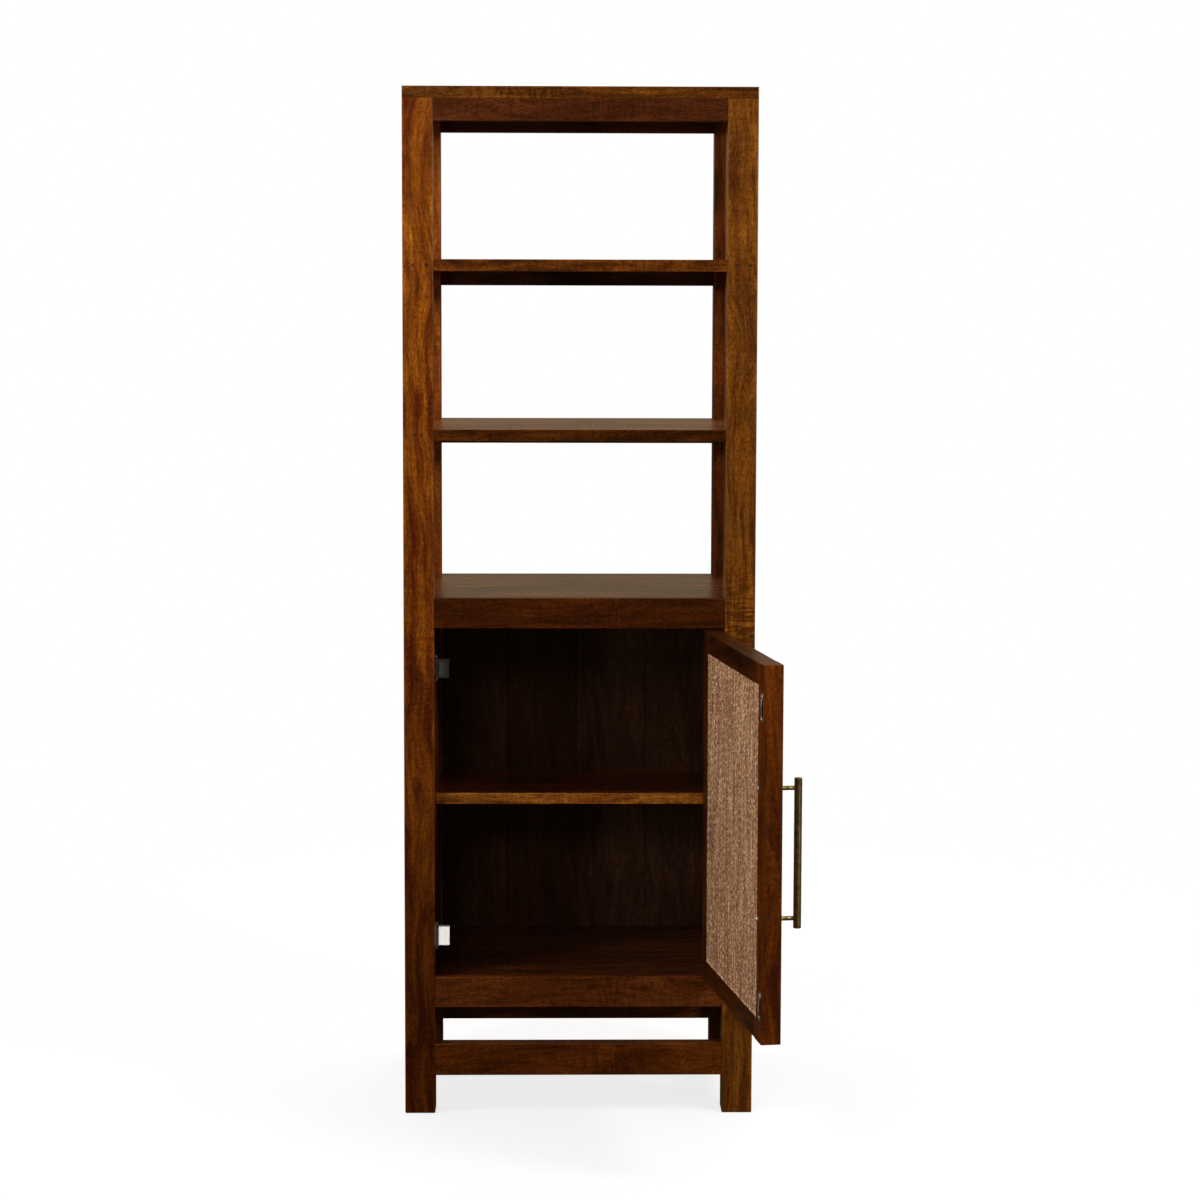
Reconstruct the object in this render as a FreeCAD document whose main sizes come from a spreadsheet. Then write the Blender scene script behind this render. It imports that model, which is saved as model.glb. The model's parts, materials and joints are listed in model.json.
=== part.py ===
import FreeCAD, Part
import os
import re
import Sketcher

# A tall display cabinet in solid mango wood: four square posts carry a top board and two open
# shelves, and below a deck they frame a cupboard with one inset door. The door is a mortised
# frame round a panel faced with woven fibre. It hangs on two butt hinges on the right post and
# meets two magnetic catches on the left post.
#
# Origin: on the floor, at the middle of the four feet. +X is to the right of a person who faces
# the door, +Y runs from the front to the back and +Z is up. The door is modelled shut, in its own
# frame with the hinge axis as its Z axis, and is then hung on that axis at the angle at which it
# stands open.

os.makedirs("parts", exist_ok=True)
doc = FreeCAD.newDocument("DisplayCabinet")

# Driving sizes in millimetres, angles in degrees
sizes = {
    # carcass
    "width": 600,
    "depth": 450,
    "height": 1760,
    "post_size": 52,
    "top_thickness": 20,
    "board_thickness": 20,
    "rail_thickness": 20,
    "arris_radius": 1.2,
    "post_arris_radius": 1.8,
    "foot_chamfer": 1.4,
    # levels of the upper faces of the boards; the shelves divide the space that is left
    "floor_level": 240,
    "deck_level": 897,
    "shelf_pitch_share": 0.3405,
    "inner_shelf_share": 0.481,
    # rails and stretchers
    "top_rail_height": 38,
    "shelf_rail_height": 25,
    "deck_rail_height": 52,
    "floor_rail_height": 53,
    "stretcher_rise": 67,
    "stretcher_height": 55,
    "stretcher_thickness": 32,
    # joints in the wood
    "tenon_length": 20,
    "tenon_thickness": 9,
    "tenon_height_share": 0.6,
    "joint_clearance": 0.15,
    "groove_depth": 6,
    # cupboard sides, back and inner shelf
    "side_panel_thickness": 18,
    "side_panel_recess": 2,
    "back_board_count": 4,
    "back_board_thickness": 10,
    "back_board_recess": 3,
    "tongue_length": 5,
    "tongue_thickness": 3.4,
    "seam_bevel": 1,
    "inner_shelf_setback": 183,
    "housing_depth": 6,
    # filled nail holes in the front posts
    "plug_radius": 2.2,
    "plug_depth": 6,
    "plug_spacing": 23,
    "left_plug_inset": 17.5,
    "right_plug_inset": 12.5,
    "low_plug_inset": 20,
    "low_plug_spacing": 11,
    # door frame and woven panel
    "door_gap": 2,
    "door_thickness": 32,
    "stile_width": 50,
    "door_rail_width": 46,
    "door_tenon_length": 26,
    "door_tenon_margin": 6,
    "door_tenon_height": 26,
    "door_arris_radius": 1.5,
    "rebate_width": 11,
    "panel_core_thickness": 12,
    "mat_thickness": 3,
    "mat_recess": 0.5,
    "panel_clearance": 0.5,
    "open_angle": 98,
    # butt hinges
    "hinge_inset": 90,
    "hinge_height": 60,
    "hinge_leaf_width": 22,
    "hinge_leaf_thickness": 1.4,
    "hinge_leaf_recess": 0.7,
    "hinge_axis_stand": 4,
    "knuckle_count": 5,
    "knuckle_radius": 3.5,
    "knuckle_wall_overlap": 1.1,
    "knuckle_gap": 0.2,
    "hinge_pin_radius": 1.5,
    "hinge_pin_clearance": 0.05,
    "hinge_pin_cap_height": 1.6,
    "hinge_screw_count": 3,
    "hinge_screw_spacing": 20,
    "hinge_screw_head_radius": 2.9,
    "hinge_screw_shank_radius": 1.6,
    "hinge_screw_length": 18,
    # wood screws with domed heads, for the catches and the strike plates
    "screw_head_radius": 3.2,
    "screw_head_height": 1.8,
    "screw_shank_radius": 1.5,
    "screw_length": 14,
    "screw_clearance": 0.1,
    # bar handle
    "handle_level_share": 0.496,
    "handle_inset": 35.5,
    "handle_length": 240,
    "handle_overhang": 16,
    "handle_bar_radius": 6.3,
    "handle_post_radius": 4,
    "handle_stand": 32.4,
    "handle_post_seat": 3,
    "handle_edge_chamfer": 0.6,
    "handle_bolt_radius": 2,
    "handle_bolt_reach": 12,
    "handle_bolt_clearance": 0.3,
    "handle_bolt_head_radius": 4,
    "handle_bolt_head_height": 2.6,
    # magnetic catches and their strike plates
    "upper_catch_inset": 72,
    "lower_catch_inset": 62.5,
    "upper_strike_inset": 68,
    "lower_strike_inset": 60,
    "catch_projection": 24,
    "catch_depth": 14,
    "catch_height": 32,
    "catch_ear_height": 7.5,
    "catch_ear_width": 10,
    "catch_ear_thickness": 2.5,
    "catch_cavity_depth": 10,
    "catch_edge_radius": 0.8,
    "magnet_height": 24,
    "magnet_thickness": 6,
    "pole_thickness": 1.5,
    "pole_proud": 1,
    "magnet_clearance": 0.15,
    "strike_width": 14,
    "strike_height": 47,
    "strike_flange": 11,
    "strike_slope": 2.5,
    "strike_sheet": 1.2,
    "strike_stand": 3.2,
    "strike_corner_radius": 3,
    "strike_gap": 0.3,
}

sheet = doc.addObject("Spreadsheet::Sheet", "Sizes")
for row, (alias, number) in enumerate(sizes.items(), start=1):
    sheet.set(f"A{row}", alias)
    sheet.set(f"B{row}", str(number))
    sheet.setAlias(f"B{row}", alias)
doc.recompute()


# Formulas are written with the aliases alone, and these two read them
def formula(text):
    return re.sub(r"[a-z]\w*", lambda word: f"Sizes.{word.group()}", str(text))


def number_of(text):
    return float(sheet.evalExpression(formula(text)))


# Lines of the carcass that many pieces share
INNER_X = "(width / 2 - post_size)"
INNER_Y = "(depth / 2 - post_size)"
POST_TOP = "(height - top_thickness)"
SHELF_PITCH = f"(shelf_pitch_share * ({POST_TOP} - deck_level))"
LOWER_SHELF = f"(deck_level + {SHELF_PITCH})"
UPPER_SHELF = f"(deck_level + 2 * {SHELF_PITCH})"
DECK_UNDERSIDE = "(deck_level - board_thickness)"
CUPBOARD_TOP = "(deck_level - deck_rail_height)"
INNER_SHELF = f"(floor_level + inner_shelf_share * ({CUPBOARD_TOP} - floor_level))"
PANEL_FACE = f"({INNER_X} + side_panel_recess)"
BACK_FRONT = "(depth / 2 - rail_thickness + back_board_recess)"
BACK_REAR = f"({BACK_FRONT} + back_board_thickness)"

# The hinge axis stands in front of the gap between the door and the right post
AXIS_X = f"({INNER_X} - door_gap / 2)"
AXIS_Y = "(-depth / 2 - hinge_axis_stand)"

# Lines of the shut door, measured from the hinge axis
DOOR_WIDTH = f"(2 * {INNER_X} - 2 * door_gap)"
DOOR_LOW = "(floor_level + door_gap)"
DOOR_HIGH = f"({CUPBOARD_TOP} - door_gap)"
HINGE_EDGE = "(-door_gap / 2)"
FREE_EDGE = f"({HINGE_EDGE} - {DOOR_WIDTH})"
OUTER_FACE = "hinge_axis_stand"
INNER_FACE = "(hinge_axis_stand + door_thickness)"
REBATE_DEPTH = "(2 * mat_thickness + panel_core_thickness + mat_recess)"

nodes = []


# Sketch and feature helpers
def new_body(label, on_door=False):
    body = doc.addObject("PartDesign::Body", label)
    body.Label = label
    nodes.append(body)
    if on_door:
        hang_on_hinge(body)
    return body


def hang_on_hinge(piece):
    """Puts a piece of the shut door on the hinge axis, opened by the open angle."""
    upright = FreeCAD.Rotation(FreeCAD.Vector(0, 0, 1), number_of("open_angle"))
    piece.Placement = FreeCAD.Placement(FreeCAD.Vector(0, 0, 0), upright)
    piece.setExpression("Placement.Base.x", formula(AXIS_X))
    piece.setExpression("Placement.Base.y", formula(AXIS_Y))
    piece.setExpression("Placement.Rotation.Angle", formula("open_angle"))


def sketch_at(body, plane, level):
    """A sketch parallel to a plane of the body, at a level along X, Y or Z."""
    sketch = body.newObject("Sketcher::SketchObject", f"{body.Name}_Sketch")
    role = f"{plane}_Plane"
    origin_plane = [item for item in body.Origin.OriginFeatures if item.Role == role][0]
    sketch.AttachmentSupport = [(origin_plane, "")]
    sketch.MapMode = "FlatFace"
    # The XZ plane faces towards -Y, so a level along Y is an offset the other way
    side = "-" if plane == "XZ" else ""
    sketch.setExpression("AttachmentOffset.Base.z", formula(f"{side}({level})"))
    return sketch


def place_point(sketch, geometry, point, across, up):
    """Ties a point of a sketch to its formulas from the sketch's origin."""
    for kind, text, axis in (("DistanceX", across, -2), ("DistanceY", up, -1)):
        if text == "0":
            sketch.addConstraint(Sketcher.Constraint("PointOnObject", geometry, point, axis))
            continue
        tie = Sketcher.Constraint(kind, -1, 1, geometry, point, number_of(text))
        index = sketch.addConstraint(tie)
        sketch.setExpression(f"Constraints[{index}]", formula(text))


def polygon(sketch, points):
    """A closed outline through points given as formulas."""
    first = sketch.GeometryCount
    corners = [FreeCAD.Vector(number_of(a), number_of(b), 0) for a, b in points]
    count = len(points)
    for i in range(count):
        line = Part.LineSegment(corners[i], corners[(i + 1) % count])
        sketch.addGeometry(line, False)
    for i in range(count):
        joined = Sketcher.Constraint("Coincident", first + i, 2, first + (i + 1) % count, 1)
        sketch.addConstraint(joined)
    for i, (across, up) in enumerate(points):
        place_point(sketch, first + i, 1, across, up)


def rectangle(sketch, left, right, low, high):
    polygon(sketch, [(left, low), (right, low), (right, high), (left, high)])


def circle(sketch, across, up, radius):
    centre = FreeCAD.Vector(number_of(across), number_of(up), 0)
    ring = Part.Circle(centre, FreeCAD.Vector(0, 0, 1), number_of(radius))
    index = sketch.addGeometry(ring, False)
    place_point(sketch, index, 3, across, up)
    tie = sketch.addConstraint(Sketcher.Constraint("Radius", index, number_of(radius)))
    sketch.setExpression(f"Constraints[{tie}]", formula(radius))


def pad(body, sketch, length):
    """A pad that stands out evenly on both sides of its sketch."""
    feature = body.newObject("PartDesign::Pad", f"{body.Name}_Pad")
    feature.Profile = sketch
    feature.SideType = "Symmetric"
    feature.setExpression("Length", formula(length))
    return feature


def pocket(body, sketch, length):
    """A pocket that cuts evenly on both sides of its sketch, so it can't point the wrong way."""
    doc.recompute()
    faces_before = len(body.Shape.Faces)
    feature = body.newObject("PartDesign::Pocket", f"{body.Name}_Pocket")
    feature.Profile = sketch
    feature.SideType = "Symmetric"
    feature.setExpression("Length", formula(length))
    doc.recompute()
    if len(body.Shape.Faces) <= faces_before:
        raise RuntimeError(f"a pocket in {body.Label} removes nothing")
    return feature


def pocket_from_face(body, sketch, depth):
    """A pocket from the face that the sketch lies on, to a depth under it."""
    return pocket(body, sketch, f"2 * ({depth})")


def dress(body, kind, size_name, size, chosen):
    """A fillet or chamfer on the edges for which the test says yes."""
    doc.recompute()
    shaped = body.Tip
    edges = enumerate(shaped.Shape.Edges, start=1)
    names = [f"Edge{i}" for i, edge in edges if chosen(edge)]
    feature = body.newObject(f"PartDesign::{kind}", f"{body.Name}_{kind}")
    feature.Base = (shaped, names)
    feature.setExpression(size_name, formula(size))
    doc.recompute()
    if not names or "Invalid" in feature.State:
        raise RuntimeError(f"a {kind} in {body.Label} fails on {names}")
    return feature


def fillet(body, radius, chosen):
    return dress(body, "Fillet", "Radius", radius, chosen)


def chamfer(body, size, chosen):
    return dress(body, "Chamfer", "Size", size, chosen)


NEARLY_SHARE = 1e-6


def runs_along(edge, axis):
    """Whether an edge is straight and parallel to the axis with this number."""
    if edge.Curve.TypeId != "Part::GeomLine":
        return False
    start, end = edge.firstVertex().Point, edge.lastVertex().Point
    run = end.sub(start)
    return abs(run[axis]) >= (1 - NEARLY_SHARE) * edge.Length


def long_edge(edge, axis, length):
    """Whether an edge runs along an axis for at least most of a length."""
    most_share = 0.6
    return runs_along(edge, axis) and edge.Length >= most_share * number_of(length)


def middle_share(low, high, share):
    """The formulas of the ends of the middle share of a height."""
    margin = f"(({high}) - ({low})) * (1 - {share}) / 2"
    return f"(({low}) + {margin})", f"(({high}) - {margin})"


# Rails and stretchers: each level has one on the sides named here
all_sides = ("front", "back", "left", "right")
shelf_sides = ("back", "left", "right")


def under_board(level, height):
    return f"({level} - board_thickness - {height})", f"({level} - board_thickness)"


levels = {
    "top_rail": (
        all_sides,
        f"({POST_TOP} - top_rail_height)",
        POST_TOP,
        "rail_thickness",
    ),
    "upper_shelf_rail": (
        shelf_sides,
        *under_board(UPPER_SHELF, "shelf_rail_height"),
        "rail_thickness",
    ),
    "lower_shelf_rail": (
        shelf_sides,
        *under_board(LOWER_SHELF, "shelf_rail_height"),
        "rail_thickness",
    ),
    "deck_rail": (
        all_sides,
        CUPBOARD_TOP,
        "deck_level",
        "rail_thickness",
    ),
    "floor_rail": (
        all_sides,
        "(floor_level - floor_rail_height)",
        "floor_level",
        "rail_thickness",
    ),
    "stretcher": (
        all_sides,
        "stretcher_rise",
        "(stretcher_rise + stretcher_height)",
        "stretcher_thickness",
    ),
}


def rail_middle(side, thickness):
    """The level of a rail's middle plane: its outer face is flush with the posts."""
    half = "width / 2" if side in ("left", "right") else "depth / 2"
    sign = "-" if side in ("left", "front") else ""
    return f"{sign}({half} - {thickness} / 2)"


def make_rail(label, side, low, high, thickness):
    """A rail between two posts, with a tenon at each end."""
    along_width = side in ("front", "back")
    plane = "XZ" if along_width else "YZ"
    reach = INNER_X if along_width else INNER_Y
    axis = 0 if along_width else 1
    level = rail_middle(side, thickness)
    body = new_body(label)
    bar = sketch_at(body, plane, level)
    rectangle(bar, f"-{reach}", reach, low, high)
    pad(body, bar, thickness)
    fillet(body, "arris_radius", lambda edge: long_edge(edge, axis, f"2 * {reach}"))
    tenon = sketch_at(body, plane, level)
    tenon_low, tenon_high = middle_share(low, high, "tenon_height_share")
    tip = f"({reach} + tenon_length)"
    rectangle(tenon, f"-{tip}", tip, tenon_low, tenon_high)
    pad(body, tenon, "tenon_thickness")
    return body


def groove_for_back(body, level):
    """The groove in a back rail that the back boards stand in."""
    groove = sketch_at(body, "XY", level)
    clear = "joint_clearance"
    front, rear = f"{BACK_FRONT} - {clear}", f"{BACK_REAR} + {clear}"
    overrun = f"({INNER_X} - joint_clearance)"
    rectangle(groove, f"-{overrun}", overrun, front, rear)
    pocket_from_face(body, groove, "groove_depth")


for level_name, (sides, low, high, thickness) in levels.items():
    for side in sides:
        rail = make_rail(f"{level_name}_{side}", side, low, high, thickness)
        if side == "back" and level_name == "floor_rail":
            groove_for_back(rail, high)
        if side == "back" and level_name == "deck_rail":
            groove_for_back(rail, low)


# Posts: square, full height, mortised for every rail that meets them
def mortise_rectangles(body, plane, face, across_of, side):
    """Cuts the mortises of the rails on one side into the face of a post."""
    sketch = sketch_at(body, plane, face)
    for sides, low, high, thickness in levels.values():
        if side not in sides:
            continue
        tenon_low, tenon_high = middle_share(low, high, "tenon_height_share")
        centre = across_of(thickness)
        half = "(tenon_thickness / 2 + joint_clearance)"
        rectangle(
            sketch,
            f"{centre} - {half}",
            f"{centre} + {half}",
            f"{tenon_low} - joint_clearance",
            f"{tenon_high} + joint_clearance",
        )
    pocket_from_face(body, sketch, "tenon_length + joint_clearance")


def plug_spots(side):
    """Where the nail holes in a front post were filled, as X and Z."""
    sign = "-" if side == "left" else ""
    upper = f"({UPPER_SHELF} - board_thickness / 2)"
    lower = f"({LOWER_SHELF} - board_thickness / 2)"
    inset = f"{side}_plug_inset"
    spots = [
        (f"{sign}(width / 2 - {inset})", upper),
        (f"{sign}(width / 2 - {inset} - plug_spacing)", upper),
    ]
    if side == "left":
        spots.append(("-(width / 2 - low_plug_inset)", lower))
        spots.append(("-(width / 2 - low_plug_inset - low_plug_spacing)", lower))
    return spots


def make_post(end, side):
    x_sign = "-" if side == "left" else ""
    y_sign = "-" if end == "front" else ""
    body = new_body(f"post_{end}_{side}")
    section = sketch_at(body, "XY", f"{POST_TOP} / 2")
    near_x, far_x = f"{x_sign}(width / 2)", f"{x_sign}{INNER_X}"
    near_y, far_y = f"{y_sign}(depth / 2)", f"{y_sign}{INNER_Y}"
    rectangle(section, near_x, far_x, near_y, far_y)
    pad(body, section, POST_TOP)
    fillet(body, "post_arris_radius", lambda edge: runs_along(edge, 2))
    chamfer(body, "foot_chamfer", lambda edge: edge.BoundBox.ZMax <= NEARLY_SHARE)

    def across_y(thickness):
        return f"{y_sign}(depth / 2 - {thickness} / 2)"

    def across_x(thickness):
        return f"{x_sign}(width / 2 - {thickness} / 2)"

    mortise_rectangles(body, "YZ", far_x, across_y, end)
    mortise_rectangles(body, "XZ", far_y, across_x, side)

    side_groove = sketch_at(body, "XZ", far_y)
    near = f"{x_sign}({PANEL_FACE} - joint_clearance)"
    far = f"{x_sign}({PANEL_FACE} + side_panel_thickness + joint_clearance)"
    rectangle(side_groove, near, far, "floor_level", DECK_UNDERSIDE)
    pocket_from_face(body, side_groove, "groove_depth")

    if end == "back":
        back_groove = sketch_at(body, "YZ", far_x)
        front, rear = f"{BACK_FRONT} - joint_clearance", f"{BACK_REAR} + joint_clearance"
        low = "(floor_level - groove_depth)"
        high = f"({CUPBOARD_TOP} + groove_depth)"
        rectangle(back_groove, front, rear, low, high)
        pocket_from_face(body, back_groove, "groove_depth")
    else:
        holes = sketch_at(body, "XZ", near_y)
        for x, z in plug_spots(side):
            circle(holes, x, z, "plug_radius + joint_clearance")
        pocket_from_face(body, holes, "plug_depth + joint_clearance")
    return body


posts = {}
for end in ("front", "back"):
    for side in ("left", "right"):
        posts[end, side] = make_post(end, side)

plugs = new_body("joint_plugs")
plug_sketch = sketch_at(plugs, "XZ", "-(depth / 2 - plug_depth / 2)")
for side in ("left", "right"):
    for x, z in plug_spots(side):
        circle(plug_sketch, x, z, "plug_radius")
pad(plugs, plug_sketch, "plug_depth")


# Boards: the top lies on the posts, the shelves are notched round them
top = new_body("top_board")
outline = sketch_at(top, "XY", "height - top_thickness / 2")
rectangle(outline, "-width / 2", "width / 2", "-depth / 2", "depth / 2")
pad(top, outline, "top_thickness")
fillet(top, "post_arris_radius", lambda edge: runs_along(edge, 2))
# Rounding the long edges carries on round the corners and along the ends
fillet(top, "arris_radius", lambda edge: long_edge(edge, 0, "width"))


def make_notched_board(label, half_width, half_depth, level, clear):
    """A board with its four corners cut out round the posts."""
    body = new_body(label)
    sketch = sketch_at(body, "XY", f"{level} - board_thickness / 2")
    wide, deep = half_width, half_depth
    narrow, shallow = f"({INNER_X} - {clear})", f"({INNER_Y} - {clear})"
    corner = [(narrow, deep), (narrow, shallow), (wide, shallow)]
    points = [(x, y) for x, y in corner]
    points += [(x, f"-{y}") for x, y in reversed(corner)]
    points += [(f"-{x}", f"-{y}") for x, y in corner]
    points += [(f"-{x}", y) for x, y in reversed(corner)]
    polygon(sketch, points)
    pad(body, sketch, "board_thickness")
    return body


for shelf, level in (("upper_shelf", UPPER_SHELF), ("lower_shelf", LOWER_SHELF)):
    board = make_notched_board(
        f"{shelf}_board", "(width / 2)", "(depth / 2)", level, "joint_clearance"
    )
    fillet(board, "arris_radius", lambda edge: long_edge(edge, 0, f"2 * {INNER_X}"))
    fillet(board, "arris_radius", lambda edge: long_edge(edge, 1, f"2 * {INNER_Y}"))

for name in ("deck", "floor"):
    make_notched_board(
        f"{name}_board",
        "(width / 2 - rail_thickness - joint_clearance)",
        "(depth / 2 - rail_thickness - joint_clearance)",
        f"{name}_level",
        "joint_clearance",
    )


# Cupboard sides: boards let into the posts, each with a housing for the inner shelf
shelf_front = "(-depth / 2 + inner_shelf_setback)"
shelf_low = f"({INNER_SHELF} - board_thickness)"


def make_side_panel(side):
    sign = "-" if side == "left" else ""
    body = new_body(f"side_panel_{side}")
    face = sketch_at(body, "YZ", f"{sign}({PANEL_FACE} + side_panel_thickness / 2)")
    reach = f"({INNER_Y} + groove_depth - joint_clearance)"
    low, high = "(floor_level + joint_clearance)", f"({DECK_UNDERSIDE} - joint_clearance)"
    rectangle(face, f"-{reach}", reach, low, high)
    pad(body, face, "side_panel_thickness")
    housing = sketch_at(body, "YZ", f"{sign}{PANEL_FACE}")
    low, high = f"{shelf_low} - joint_clearance", f"{INNER_SHELF} + joint_clearance"
    rectangle(housing, f"{shelf_front} - joint_clearance", INNER_Y, low, high)
    pocket_from_face(body, housing, "housing_depth")
    return body


for side in ("left", "right"):
    make_side_panel(side)

inner_shelf = new_body("inner_shelf")
outline = sketch_at(inner_shelf, "XY", f"{shelf_low} + board_thickness / 2")
wide = f"({PANEL_FACE} + housing_depth - joint_clearance)"
narrow = f"({INNER_X} - joint_clearance)"
notch = f"({INNER_Y} - joint_clearance)"
rear = f"({BACK_FRONT} - joint_clearance)"
polygon(
    outline,
    [
        (f"-{wide}", shelf_front),
        (wide, shelf_front),
        (wide, notch),
        (narrow, notch),
        (narrow, rear),
        (f"-{narrow}", rear),
        (f"-{narrow}", notch),
        (f"-{wide}", notch),
    ],
)
pad(inner_shelf, outline, "board_thickness")


def on_shelf_front(edge):
    near_front = edge.BoundBox.YMax <= number_of(shelf_front) + number_of("joint_clearance")
    return near_front and runs_along(edge, 0)


fillet(inner_shelf, "arris_radius", on_shelf_front)


# Back boards: upright, tongued and grooved, let into the back posts and rails
def make_back_boards():
    body = new_body("back_boards")
    low = "(floor_level - groove_depth + joint_clearance)"
    high = f"({CUPBOARD_TOP} + groove_depth - joint_clearance)"
    sketch = sketch_at(body, "XY", f"({low} + {high}) / 2")
    count = round(number_of("back_board_count"))
    half_span = f"({INNER_X} + groove_depth - joint_clearance)"
    middle = f"(({BACK_FRONT} + {BACK_REAR}) / 2)"
    tongue = "(tongue_thickness / 2)"
    slot = "(tongue_thickness / 2 + joint_clearance)"
    for i in range(count):
        pitch = f"(2 * {half_span} / {count})"
        left, right = f"(-{half_span} + {i} * {pitch})", f"(-{half_span} + {i + 1} * {pitch})"
        # Neighbours stand one clearance apart
        left = f"({left} + joint_clearance / 2)"
        right = f"({right} - joint_clearance / 2)"
        tip = f"({right} + tongue_length)"
        root = f"({left} + tongue_length + joint_clearance)"
        points = [(f"{left} + seam_bevel", BACK_FRONT), (f"{right} - seam_bevel", BACK_FRONT)]
        points.append((right, f"{BACK_FRONT} + seam_bevel"))
        if i < count - 1:
            points += [(right, f"{middle} - {tongue}"), (tip, f"{middle} - {tongue}")]
            points += [(tip, f"{middle} + {tongue}"), (right, f"{middle} + {tongue}")]
        points += [(right, BACK_REAR), (left, BACK_REAR)]
        if i > 0:
            points += [(left, f"{middle} + {slot}"), (root, f"{middle} + {slot}")]
            points += [(root, f"{middle} - {slot}"), (left, f"{middle} - {slot}")]
        points.append((left, f"{BACK_FRONT} + seam_bevel"))
        polygon(sketch, points)
    pad(body, sketch, f"{high} - {low}")
    return body


make_back_boards()


# Door frame: stiles, rails tenoned into them, and a rebate on the inside for the panel
def cut_rebate(body):
    sketch = sketch_at(body, "XZ", INNER_FACE)
    side = "(stile_width - rebate_width)"
    end = "(door_rail_width - rebate_width)"
    left, right = f"{FREE_EDGE} + {side}", f"{HINGE_EDGE} - {side}"
    rectangle(sketch, left, right, f"{DOOR_LOW} + {end}", f"{DOOR_HIGH} - {end}")
    pocket_from_face(body, sketch, REBATE_DEPTH)


DOOR_MIDDLE = f"({OUTER_FACE} + door_thickness / 2)"
FREE_SHOULDER = f"({FREE_EDGE} + stile_width)"
HINGE_SHOULDER = f"({HINGE_EDGE} - stile_width)"


def door_tenon_heights(end):
    """The lower and upper edge of the tenon of the low or high rail of the door."""
    if end == "bottom":
        low = f"({DOOR_LOW} + door_tenon_margin)"
        return low, f"({low} + door_tenon_height)"
    high = f"({DOOR_HIGH} - door_tenon_margin)"
    return f"({high} - door_tenon_height)", high


def make_door_rail(end):
    body = new_body(f"door_rail_{end}", on_door=True)
    face = sketch_at(body, "XZ", DOOR_MIDDLE)
    if end == "bottom":
        low, high = DOOR_LOW, f"({DOOR_LOW} + door_rail_width)"
    else:
        low, high = f"({DOOR_HIGH} - door_rail_width)", DOOR_HIGH
    rectangle(face, FREE_SHOULDER, HINGE_SHOULDER, low, high)
    pad(body, face, "door_thickness")
    fillet(body, "door_arris_radius", lambda edge: long_edge(edge, 0, "stile_width"))
    tenon = sketch_at(body, "XZ", DOOR_MIDDLE)
    tenon_low, tenon_high = door_tenon_heights(end)
    left, right = f"{FREE_SHOULDER} - door_tenon_length", f"{HINGE_SHOULDER} + door_tenon_length"
    rectangle(tenon, left, right, tenon_low, tenon_high)
    pad(body, tenon, "tenon_thickness")
    cut_rebate(body)
    return body


def make_stile(name, outer_edge, shoulder):
    body = new_body(f"door_stile_{name}", on_door=True)
    face = sketch_at(body, "XZ", DOOR_MIDDLE)
    left, right = sorted((outer_edge, shoulder), key=number_of)
    rectangle(face, left, right, DOOR_LOW, DOOR_HIGH)
    pad(body, face, "door_thickness")
    fillet(body, "door_arris_radius", lambda edge: long_edge(edge, 2, "door_rail_width"))
    cut_rebate(body)
    mortises = sketch_at(body, "YZ", shoulder)
    half = "(tenon_thickness / 2 + joint_clearance)"
    for end in ("bottom", "top"):
        low, high = door_tenon_heights(end)
        rectangle(
            mortises,
            f"{DOOR_MIDDLE} - {half}",
            f"{DOOR_MIDDLE} + {half}",
            f"{low} - joint_clearance",
            f"{high} + joint_clearance",
        )
    pocket_from_face(body, mortises, "door_tenon_length + joint_clearance")
    return body


for end in ("bottom", "top"):
    make_door_rail(end)
hinge_stile = make_stile("hinge", HINGE_EDGE, HINGE_SHOULDER)
free_stile = make_stile("free", FREE_EDGE, FREE_SHOULDER)


# Door panel: a stiff board with a woven mat on each face, lying in the rebate
def make_panel_layer(label, front, thickness, arris):
    body = new_body(label, on_door=True)
    sketch = sketch_at(body, "XZ", f"{front} + {thickness} / 2")
    side = "(stile_width - rebate_width + panel_clearance)"
    end = "(door_rail_width - rebate_width + panel_clearance)"
    left, right = f"{FREE_EDGE} + {side}", f"{HINGE_EDGE} - {side}"
    rectangle(sketch, left, right, f"{DOOR_LOW} + {end}", f"{DOOR_HIGH} - {end}")
    pad(body, sketch, thickness)
    if arris:
        fillet(body, arris, lambda edge: runs_along(edge, 0) or runs_along(edge, 2))
    return body


PANEL_FRONT = f"({INNER_FACE} - {REBATE_DEPTH})"
make_panel_layer("woven_mat_front", PANEL_FRONT, "mat_thickness", "mat_thickness / 4")
make_panel_layer("panel_core", f"{PANEL_FRONT} + mat_thickness", "panel_core_thickness", None)
make_panel_layer(
    "woven_mat_inner",
    f"{PANEL_FRONT} + mat_thickness + panel_core_thickness",
    "mat_thickness",
    "mat_thickness / 4",
)


# Butt hinges: leaves let into post and door, knuckles in turn, and a capped pin
hinge_centres = (
    f"({DOOR_LOW} + hinge_inset)",
    f"({DOOR_HIGH} - hinge_inset)",
)


def knuckle_span(centre, index):
    """The middle height and the length of one knuckle."""
    pitch = "(hinge_height / knuckle_count)"
    middle = f"({centre} - hinge_height / 2 + ({index} + 1 / 2) * {pitch})"
    return middle, f"({pitch} - knuckle_gap)"


def screw_heights(centre):
    count = round(number_of("hinge_screw_count"))
    return [f"({centre} + ({i} - ({count} - 1) / 2) * hinge_screw_spacing)" for i in range(count)]


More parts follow.
